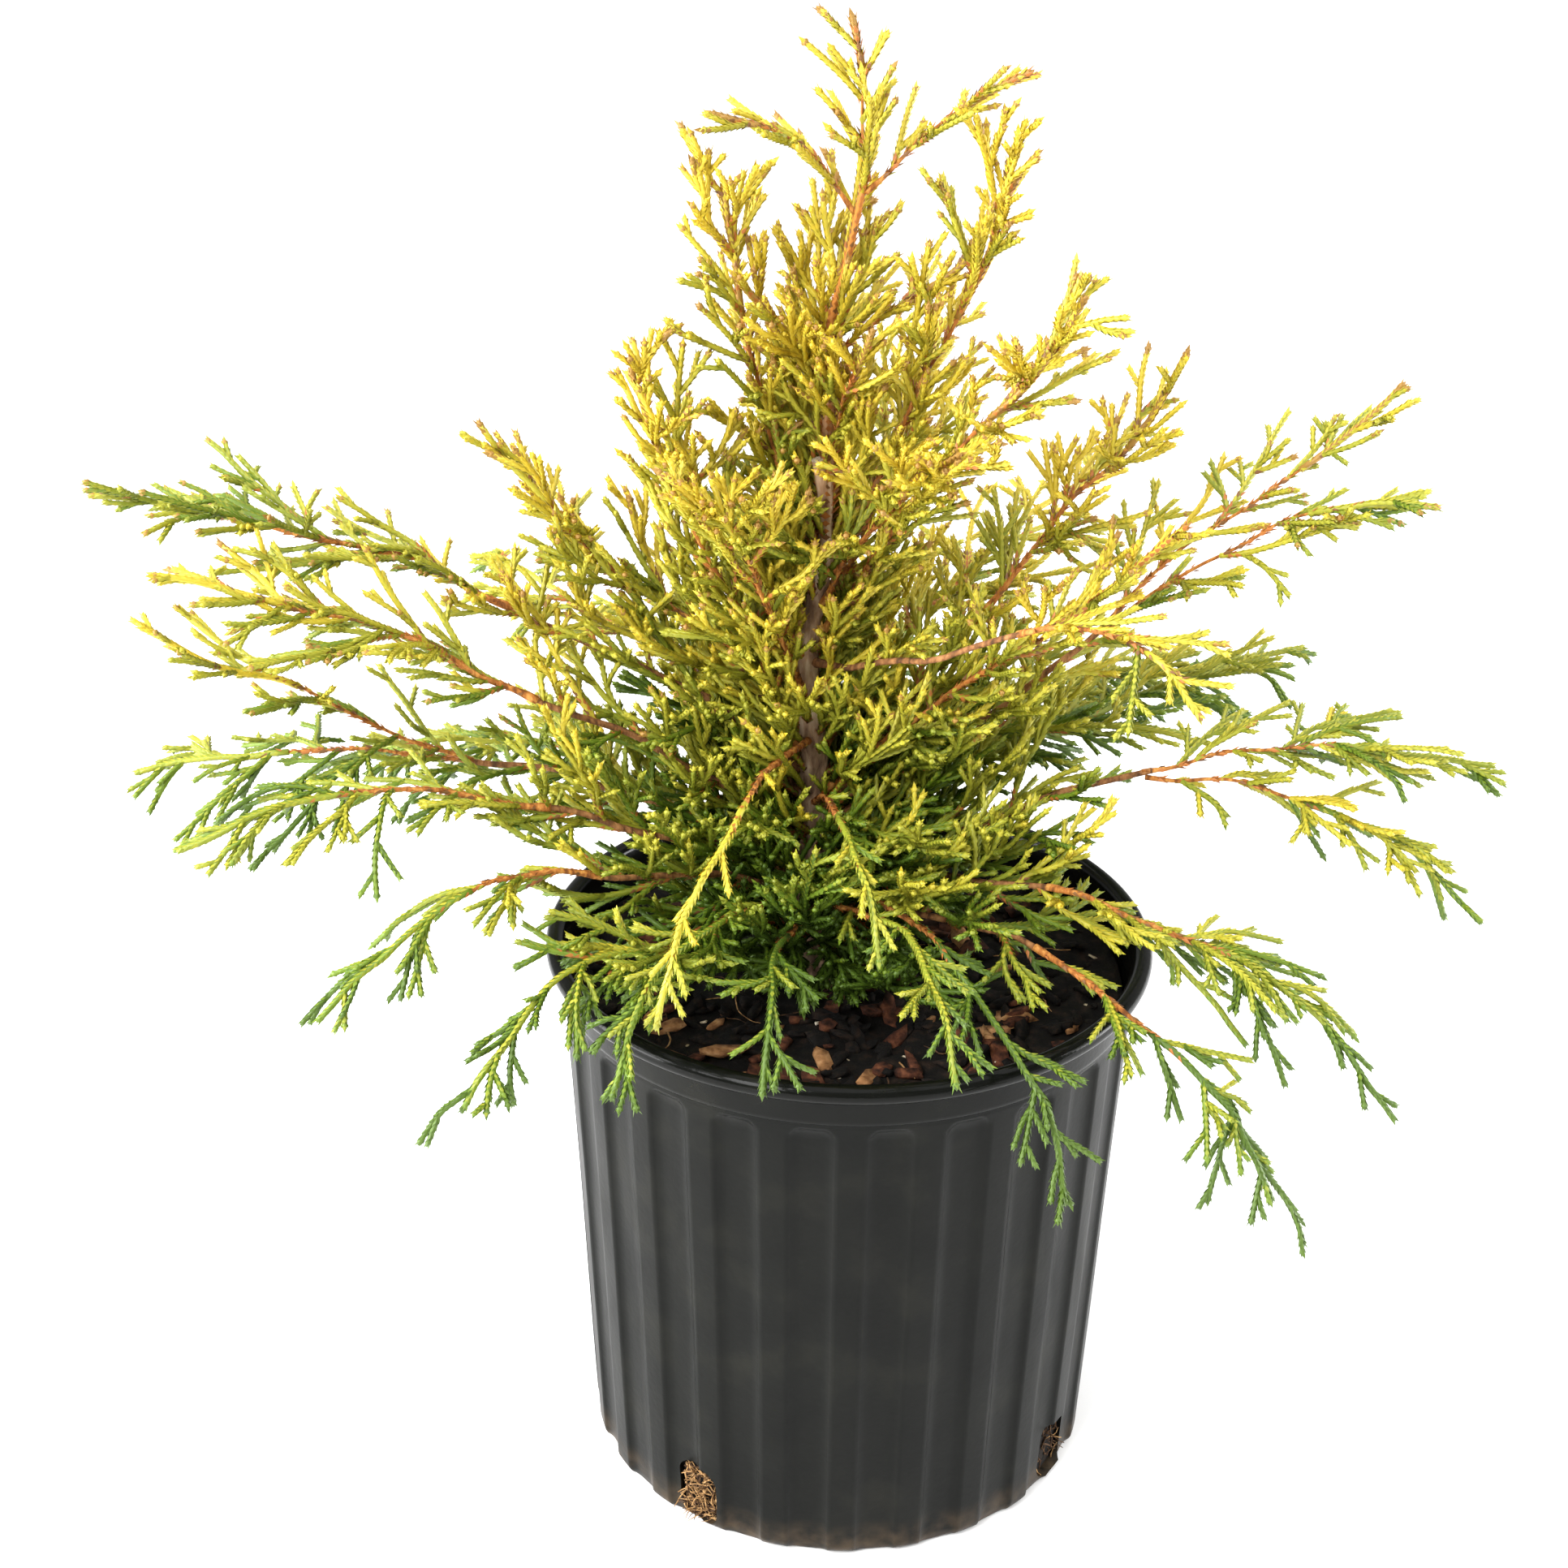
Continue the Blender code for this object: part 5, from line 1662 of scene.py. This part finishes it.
# The stub of a pruned leader: its height above the soil, its lean from root to cut, and its skin
STUB_RISE = 0.188
STUB_LEAN = (-0.0035, -0.0050, 0.0185)
STUB_RADIUS = 0.0021
STUB_SIDES = 14
STUB_COLLAR = 0.35
STUB_ROUGH = 0.08
CUT_DOME = 0.0002
CUT_GRAIN = 900
CUT_COLOURS = screen((150, 132, 108), (186, 168, 142), (212, 198, 174))


def trunk_skin(height):
    """The visible trunk's radius, slimmer than the solid's towards its top."""
    slim = mix(*TRUNK_SLIM, held((height - TRUNK_SLIM_FROM) / TRUNK_SLIM_SPAN))
    return trunk_radius(max(height, SOIL_LEVEL)) * slim


def make_trunk(bark):
    """The trunk with its relief and a slight swelling where each branch leaves it."""
    points, _ = smooth_line(waved(TRUNK).points, TRUNK_SKIN.step)
    points = np.vstack([points[0] - UP * LIMB_BACK, points])
    radii = np.array([trunk_skin(height) for height in points[:, 2]])
    for row in BRANCHES.values():
        beyond = (points[:, 2] - (SOIL_LEVEL + row.root)) / COLLAR_LENGTH
        radii += TRUNK_SKIN.collar * radii * np.exp(-beyond ** 2)
    relief = bark_relief(points, radii, TRUNK_SKIN.sides, TRUNK_SKIN.rough)
    shape = tube(points, carried_sides(headings_of(points)), relief, TRUNK_SKIN.sides)
    add_piece("trunk_bark", shape, bark, "bark", ("trunk",), True)


def make_limbs(title, limbs, skin, bark, nodes=()):
    """The bark of several limbs as one piece."""
    parts = [limb(waved(path), root * WOOD_SLIM, tip, skin, number)
             for number, (path, root, tip) in enumerate(limbs)]
    add_piece(title, joined(parts), bark, "bark", nodes, True)


def make_wood(boughs, stems):
    """The trunk, the boughs and the woody stems of the masses."""
    trunk_bark = mottled_surface("trunk_bark", BARK, TRUNK_GRAIN, TRUNK_COLOURS, YOUNG_COLOUR)
    bough_bark = mottled_surface("bough_bark", BARK, BOUGH_GRAIN, BOUGH_COLOURS)
    stem_bark = mottled_surface("stem_bark", BARK, STEM_GRAIN, STEM_COLOURS)
    make_trunk(trunk_bark)
    make_stub(trunk_bark)
    limbs = [(path, root, tip * WOOD_SLIM) for path, root, tip in boughs.values()]
    make_limbs("bough_bark", limbs, BOUGH_SKIN, bough_bark, ["bough_" + name for name in boughs])
    limbs = [(path, root, STEM_END) for path, root, _ in stems.values()]
    make_limbs("stem_bark", limbs, STEM_SKIN, stem_bark)


def make_stub(bark):
    """The short stub of a pruned leader on the trunk, with its pale cut."""
    foot = trunk_at(SOIL_LEVEL + STUB_RISE)
    path = waved(Path([foot, foot + Vector(STUB_LEAN) * 0.5, foot + Vector(STUB_LEAN)]))
    points, places = smooth_line(path.points, TRUNK_SKIN.step)
    radii = np.full(len(points), STUB_RADIUS) * (1 + STUB_COLLAR * np.exp(-places / COLLAR_LENGTH))
    headings = headings_of(points)
    relief = bark_relief(points, radii, STUB_SIDES, STUB_ROUGH)
    shape = tube(points, carried_sides(headings), relief, STUB_SIDES, closed=False)
    add_piece("stub_bark", shape, bark, "bark", (), True)
    disc = np.vstack([shape[0][-STUB_SIDES:], points[-1:] + headings[-1:] * CUT_DOME])
    pale = mottled_surface("cut_wood", CRUMBS, CUT_GRAIN, CUT_COLOURS)
    add_piece("stub_cut", (disc, triangles_of(STUB_SIDES, *ring_pairs(STUB_SIDES))), pale, "bark")


# Foliage

# Cords by rank: radius at root and tip, length of leaves, and chances of a bronze end and a bronze tip
CORD_RADII = ((0.00118, 0.00104), (0.00109, 0.00098), (0.00100, 0.00090), (0.00092, 0.00085))
LEAF_LENGTHS = (0.0042, 0.0038, 0.0035, 0.0032)
BRONZE_CHANCES = (0.6, 0.28, 0.08, 0.04)
BRONZE_TIPS = (1.0, 0.55, 0.22, 0.15)
BRONZE_END = 0.0045
BRONZE_LEVEL = 0.30
BRONZE_SPAN = 0.12
BRONZE_TIP_SPAN = 0.08
# Stems: the share of them that is bare where they hang, high up and low down, how many leaf pairs the
# wood lacks, and their least radius
BARE_HANGING = 0.40
BARE_HIGH = 0.66
BARE_LOW = 0.52
BARE_HIGH_FROM = 0.15
WOOD_PAST = 0.15
WOOD_FADE = 4
WOOD_THINNED = 0.60
BROWN_END = 1.2
BROWN_MOST = 0.85
TWIG_WOOD_MOST = 0.8
STEM_LEAST = 0.0011
STEM_INNER = 0.6
STEM_CORE_END = 0.0012
STEM_CORE_SPARE = 0.0002
CORE_SHARE = 0.96
# Tips: radius as a share of the cord's end, and lengths on twigs and stems
TIP_SWELL = 1.45
TIP_LENGTH = 0.0042
STEM_TIP_LENGTH = 0.0048
# The upper trunk, clad in brown scales, and the level over which thick cores are bronze
TRUNK_CLAD = 0.37
TOP_CORES = 0.41
# Tone: how many steps more golden a leaf is with height, light, luck and the way it faces. The light and
# facing terms are partly the golden form's own colour and partly painted light and shade: leaves in the
# crown's shade are painted greener and darker, and lit leaves and upward-facing ones more golden
TONE_BASE = 0.15
HEIGHT_FROM = 0.036
HEIGHT_SPAN = 0.098
HEIGHT_LEAST = -0.5
HEIGHT_TONE = 1.8
LIGHT_TONE = 1.2
LIGHT_HEIGHT_TONE = 1.4
TOP_LIGHT = 0.75
TOP_LIGHT_FROM = 0.14
TOP_LIGHT_SPAN = 0.12
RISE_TONE = 2.0
LUCK_TONE = 0.85
END_TONE = 0.6
LOW_TOP = 0.075
LOW_SPAN = 0.05
LOW_END_TONE = 1.2
LOW_END_LEAST = 0.4
LIT_LEAST = 0.35
CLIMB_TONE = 1.5
FACING_TONE = 0.95
LEAF_TONE_LUCK = 0.15
LEAF_SIZE_LUCK = 0.12
CORE_TONE = -0.3
# Leaves: how far woody ones and broad ones on thick cords stand off, and the share of dark brown ones
WOOD_FLARE = 0.3
THICK_FLARE = 150
THICK_FROM = 0.00110
BROWN_SHARE = 0.35
# Daylight: the grid's cell, how far it is looked through, its shade, and from where: compass angle,
# slope and weight
CELL = 0.006
SIGHT = range(2, 22)
SHADE = 0.035
SKY = [(0, 90, 2.0)] + [(azimuth, 42, 1.0) for azimuth in range(0, 360, 60)] + [(270, 15, 1.2)]

# A core is a cord's inner tube, with the places of its leaf pairs; a tip is a cord's blunt end
Core = namedtuple("Core", "line thick thin first count")
Tip = namedtuple("Tip", "end heading radius length last rank")


class Cords:
    """The leaf pairs of many cords as arrays, with the cords' cores and tips."""

    def __init__(self):
        self.rows = defaultdict(list)
        self.count = 0
        self.cores = []
        self.tips = []

    def add(self, points, radii, length, luck, tint, wood, rank):
        """Adds a cord sampled at the spacing of its leaf pairs; high cords turn bronze at their ends."""
        count = len(points)
        places = LEAF_STEP * np.arange(count)
        near_end = places[-1] - places < BRONZE_END * (0.6 + abs(luck) / 2)
        high = held((points[-1, 2] - BRONZE_LEVEL) / BRONZE_SPAN)
        turned = random.Random(self.count).random() < BRONZE_CHANCES[rank] * high
        headings = headings_of(points)
        rows = {"points": points, "headings": headings, "tops": upper_sides(headings), "radii": radii,
                "lengths": np.full(count, length), "luck": np.full(count, luck),
                "tint": np.full(count, tint), "wood": wood, "bronze": near_end & turned,
                "turn": np.arange(count) % 2, "share": np.linspace(0, 1, count)}
        for key, values in rows.items():
            self.rows[key].append(values)
        self.count += count

    def end(self, points, radius, length, rank):
        """Gives the cord that was added last its tip."""
        self.tips.append(Tip(points[-1], points[-1] - points[-2], radius, length, self.count - 1, rank))

    def gathered(self):
        """The rows as whole arrays."""
        return {key: np.concatenate(rows) for key, rows in self.rows.items()}


def daylight(points):
    """The rank, 0 to 1, of how open each point is to the light, from a coarse grid of the foliage."""
    low = points.min(0) - CELL
    cells = ((points - low) / CELL).astype(int)
    shape = cells.max(0) + 2
    density = np.zeros(shape)
    np.add.at(density, tuple(cells.T), 1.0)
    light = np.zeros(len(points))
    for azimuth, slope, weight in SKY:
        way = np.array(sloped(math.radians(azimuth), slope))
        seen = np.zeros(len(points))
        for step in SIGHT:
            there = ((points + way * (CELL * step) - low) / CELL).astype(int)
            inside = ((there >= 0) & (there < shape)).all(axis=1)
            seen[inside] += density[tuple(there[inside].T)]
        light += weight * np.exp(-SHADE * seen)
    return light.argsort().argsort() / len(points)


def gather_cords(boughs, stems):
    """All the cords of the crown: the twigs of each mass and the inner branchlets."""
    masses = {name: grow_mass(name, stems, boughs) for name in stems}
    paths = [limb[0] for limb in list(stems.values()) + list(boughs.values())]
    for mass in masses.values():
        paths += mass.sides + mass.shoots
    outline = Outline(paths)
    found = []
    for name, mass in masses.items():
        found += grow_fine(name, mass, outline)
    found += grow_inner(masses, boughs, outline)
    return [cord._replace(path=waved(cord.path)) for cord in found]


def clad_stem(cords, name, path, root):
    """Adds a stem as a cord: sparse woody scales on its inner part, then leaves."""
    row = BRANCHES.get(name) or FORKS[name]
    path = waved(path)
    points, places = smooth_line(path.points, LEAF_STEP)
    share = places / places[-1]
    bare = BARE_HIGH if row.height > BARE_HIGH_FROM else BARE_LOW
    if row.dip < HANG_SLOPE:
        bare = BARE_HANGING
    wood = np.clip((bare + WOOD_PAST - share) * WOOD_FADE, 0, 1)
    keep = np.random.default_rng(len(points)).uniform(0, 1, len(points)) > WOOD_THINNED * wood
    if name in BROWN_TOPS:
        wood = np.clip((BROWN_END - share) * WOOD_FADE, 0, BROWN_MOST)
    radii = np.maximum(mix(root, LIMB_TIP_RADIUS, share) * WOOD_SLIM, STEM_LEAST)
    clad = path.stretch(path.length * bare, path.length, CORE_STEP)
    line = np.array([tuple(point) for point in clad.points])
    thick = radii[round(bare * (len(radii) - 1))] + STEM_CORE_SPARE
    kept = keep.sum()
    inner, outer = int(kept * STEM_INNER), int(kept * (1 - STEM_INNER))
    cords.cores.append(Core(line, thick, STEM_CORE_END, cords.count + inner, outer))
    luck = random.Random(name + " luck").gauss(0, 1)
    cords.add(points[keep], radii[keep], LEAF_LENGTHS[0], luck, TINTS.get(name, 0), wood[keep], 0)
    cords.end(points, LIMB_TIP_RADIUS, STEM_TIP_LENGTH, 0)


def clad_twig(cords, cord):
    """Adds a twig with its core and its tip."""
    points, places = smooth_line(cord.path.points, LEAF_STEP)
    thick, thin = CORD_RADII[cord.rank]
    share = places / places[-1]
    wood = np.clip((cord.wood - share) * WOOD_FADE, 0, TWIG_WOOD_MOST)
    core, _ = smooth_line(cord.path.points, CORE_STEP)
    cords.cores.append(Core(core, thick * CORE_SHARE, thin * CORE_SHARE, cords.count, len(points)))
    radii = mix(thick, thin, share)
    cords.add(points, radii, LEAF_LENGTHS[cord.rank], cord.luck, cord.tint, wood, cord.rank)
    cords.end(points, thin * TIP_SWELL, TIP_LENGTH, cord.rank)


def clad_trunk(cords):
    """Adds the scales of the upper trunk."""
    points, _ = smooth_line(waved(TRUNK).points, LEAF_STEP)
    points = points[points[:, 2] > TRUNK_CLAD]
    radii = np.array([trunk_skin(level) for level in points[:, 2]])
    cords.add(points, radii, STEM_TIP_LENGTH, 0, 0, np.full(len(radii), 1.0), 0)


def tones_of(rows, light):
    """The tone of each leaf pair and its lit share: more golden high up, outside and at ends, greener where
    shaded, as the form's own colour and as painted shade.
    """
    rise = rows["points"][:, 2] - SOIL_LEVEL
    height = np.clip((rise - HEIGHT_FROM) / HEIGHT_SPAN, HEIGHT_LEAST, 1)
    # Painted shade and light, on top of the form's own colour: leaves that the crown shades take greener,
    # darker tones, lit ones golden; the top of the crown counts as lit.
    light = np.maximum(light, TOP_LIGHT * np.clip((rise - TOP_LIGHT_FROM) / TOP_LIGHT_SPAN, 0, 1))
    low = np.clip((LOW_TOP - rise) / LOW_SPAN, 0, 1)
    lit_share = mix(LIT_LEAST, 1, light)
    tone = TONE_BASE + HEIGHT_TONE * height + light * (LIGHT_TONE + LIGHT_HEIGHT_TONE * height)
    tone += RISE_TONE * rise + LUCK_TONE * rows["luck"] + rows["tint"]
    tone += END_TONE * height * (rows["share"] - 0.5)
    tone -= LOW_END_TONE * low * mix(LOW_END_LEAST, 1, rows["share"])
    # Climbing cords are painted more golden and hanging ones greener, the more so where lit: partly the
    # form's own colour, partly painted light and shade.
    tone += CLIMB_TONE * lit_share * rows["headings"][:, 2]
    return tone, lit_share


def leaves_of(rows, tone, lit_share, dice):
    """Every leaf's place, directions, size and tone: pairs to the sides and pairs to front and back."""
    broad = rows["turn"] == 0
    first = np.where(broad[:, None], np.cross(rows["headings"], rows["tops"]), rows["tops"])
    tones, sizes = [], []
    for outs in (first, -first):
        # Painted light and shade as well as the form's own colour: a leaf that faces up is more golden and
        # one that faces down greener, the more so where lit.
        facing = FACING_TONE * lit_share * outs[:, 2]
        tones.append(tone + facing + dice.normal(0, LEAF_TONE_LUCK, len(tone)))
        sizes.append(1 + dice.uniform(-LEAF_SIZE_LUCK, LEAF_SIZE_LUCK, len(tone)))
    leaves = {key: np.concatenate([rows[key], rows[key]])
              for key in ("points", "headings", "radii", "lengths", "wood", "bronze")}
    leaves["outs"] = np.concatenate([first, -first])
    leaves["broad"] = np.concatenate([broad, broad])
    leaves["size"] = np.concatenate(sizes)
    leaves["level"] = np.clip(np.round(np.concatenate(tones)), 0, len(TONES) - 1).astype(int)
    return leaves


def shells_of(leaves, chosen):
    """Vertices and triangles of the leaves that a mask chooses."""
    row = {key: values[chosen] for key, values in leaves.items()}
    form = np.where(row["broad"][:, None], LATERAL, FACIAL)
    radii = row["radii"]
    flares = form[:, 2] + WOOD_FLARE * row["wood"]
    flares = flares + THICK_FLARE * np.maximum(radii - THICK_FROM, 0) * row["broad"]
    lengths = row["lengths"] * row["size"] * form[:, 0]
    widths = radii * row["size"] * form[:, 1]
    return leaf_shells(row["points"], row["headings"], row["outs"], radii, lengths, widths, flares)


def add_leaves(title, shape, surface, slot, nodes=()):
    """Leaves in pieces that are small enough."""
    vertices, faces = shape
    leaves = len(faces) // 2
    pieces = -(-leaves // (PIECE_LIMIT // 2))
    for number in range(pieces):
        start, end = leaves * number // pieces, leaves * (number + 1) // pieces
        part = (vertices[start * 4:end * 4], faces[start * 2:end * 2] - start * 4)
        suffix = f"_{number + 1}" if pieces > 1 else ""
        add_piece(title + suffix, part, surface, slot, nodes)


def tone_title(level):
    """The name of the tone nearest to a level."""
    titles = list(TONES)
    return titles[int(min(len(titles) - 1, max(0, round(level))))]


def make_foliage(boughs, stems):
    """Every cord with its leaves, dealt out in pieces of one tone."""
    cords = Cords()
    for name, (path, root, _) in stems.items():
        clad_stem(cords, name, path, root)
    for cord in gather_cords(boughs, stems):
        clad_twig(cords, cord)
    clad_trunk(cords)
    rows = cords.gathered()
    tone, lit_share = tones_of(rows, daylight(rows["points"]))
    dice = np.random.default_rng(7)
    leaves = leaves_of(rows, tone, lit_share, dice)
    level, bronze = leaves["level"], leaves["bronze"]
    woody = (leaves["wood"] > dice.uniform(0, 1, len(level))) & ~bronze
    brown = dice.uniform(0, 1, len(level)) < BROWN_SHARE
    surfaces = {title: leaf_surface(kind + title, srgb(*colour))
                for kind, tones in (("leaf_", TONES), ("scale_", WOODS)) for title, colour in tones.items()}
    nodes = ["foliage_" + name for name in stems]
    for number, title in enumerate(TONES):
        shape = shells_of(leaves, (level == number) & ~woody & ~bronze)
        add_leaves("leaves_" + title, shape, surfaces[title], SLOTS[title], nodes)
    for title, chosen in ((RUSSET, woody & ~brown), (BROWN, woody & brown), (BRONZE, bronze)):
        add_leaves("scales_" + title, shells_of(leaves, chosen), surfaces[title], SLOTS[title])
    make_cores(cords.cores, tone, surfaces)
    make_tips(cords.tips, tone, surfaces)


def make_cores(cores, tone, surfaces):
    """The cords' inner tubes, each a little greener than its leaves."""
    parts = defaultdict(list)
    for core in cores:
        radii = np.linspace(core.thick, core.thin, len(core.line))
        title = tone_title(tone[core.first:core.first + core.count].mean() + CORE_TONE)
        if core.line[:, 2].mean() > TOP_CORES and core.thick > CORD_RADII[1][0]:
            title = BRONZE
        parts[title].append(tube(core.line, upper_sides(headings_of(core.line)), radii, 4))
    for title, tubes in parts.items():
        add_piece("twigs_" + title, joined(tubes), surfaces[title], SLOTS[title])


def make_tips(tips, tone, surfaces):
    """The blunt ends of the cords, bronze on many of the high ones."""
    dice = random.Random("tips")
    chosen = defaultdict(list)
    for tip in tips:
        bronze = BRONZE_TIPS[tip.rank] * held((tip.end[2] - BRONZE_LEVEL) / BRONZE_TIP_SPAN)
        chosen[BRONZE if dice.random() < bronze else tone_title(tone[tip.last])].append(tip)
    for title, rows in chosen.items():
        ends, headings, radii, lengths, _, _ = (np.array(values) for values in zip(*rows))
        headings = unit(headings)
        add_piece("tips_" + title, buds(ends, headings, upper_sides(headings), radii, lengths),
                  surfaces[title], SLOTS[title])


# Studio

# Lamps: name, place, what it faces, size and power
LAMPS = (
    ("top", (0, 0.2, 3.2), (0, 0.2, 0), 5.0, 145),
    ("key", (-1.2, -1.5, 1.7), (0, 0, 0.3), 1.3, 74),
    ("left", (-1.6, -0.25, 0.55), (0, 0, 0.15), 0.9, 50),
    ("right", (1.7, 0.1, 0.5), (0, 0, 0.12), 0.7, 38),
)
SKY_STRENGTH = 0.58
GROUND_RADIUS = 14
GROUND_DROP = 0.0002


def make_camera():
    """The camera at the photograph's viewing angle."""
    slope = math.radians(CAMERA_ELEVATION)
    back = Vector((0, -math.cos(slope), math.sin(slope)))
    side = Vector((1, 0, 0))
    rise = back.cross(side)
    roll = math.radians(CAMERA_ROLL)
    right = math.cos(roll) * side + math.sin(roll) * rise
    up = -math.sin(roll) * side + math.cos(roll) * rise
    data = bpy.data.cameras.new("view")
    data.lens = CAMERA_LENS
    data.sensor_width = 36
    camera = add_object("view", data)
    matrix = Matrix((right, up, back)).transposed().to_4x4()
    matrix.translation = Vector(CAMERA_LOOK) + CAMERA_DISTANCE * back
    camera.matrix_world = matrix
    bpy.context.scene.camera = camera


def make_light(name, at, look, size, power):
    """A large soft lamp."""
    data = bpy.data.lights.new(name, "AREA")
    data.shape = "SQUARE"
    data.size = size
    data.energy = power
    lamp = add_object(name, data)
    lamp.location = at
    lamp.rotation_euler = (Vector(look) - Vector(at)).to_track_quat("-Z", "Y").to_euler()


def make_studio():
    """A pale ground under soft light from all round."""
    world = bpy.data.worlds.new("studio")
    world.use_nodes = True
    sky = world.node_tree.nodes["Background"].inputs
    sky["Color"].default_value = (1, 1, 1, 1)
    sky["Strength"].default_value = SKY_STRENGTH
    bpy.context.scene.world = world
    for row in LAMPS:
        make_light(*row)
    bpy.context.scene.view_settings.view_transform = "Standard"
    bpy.context.scene.view_settings.look = "None"
    shape = bmesh.new()
    bmesh.ops.create_circle(shape, cap_ends=True, segments=96, radius=GROUND_RADIUS)
    mesh = bpy.data.meshes.new("ground")
    shape.to_mesh(mesh)
    shape.free()
    mesh.materials.append(ground_surface())
    ground = add_object("ground", mesh)
    ground.location.z = -GROUND_DROP


noise.seed_set(WAVE_SEED)
make_camera()
make_studio()
make_pot(plastic_surface())
make_bed(mottled_surface("potting_mix", CRUMBS, BED_SCALE, BED_COLOURS))
make_chips()
make_fibres()
BOUGHS, STEMS = plan_limbs()
make_wood(BOUGHS, STEMS)
make_foliage(BOUGHS, STEMS)
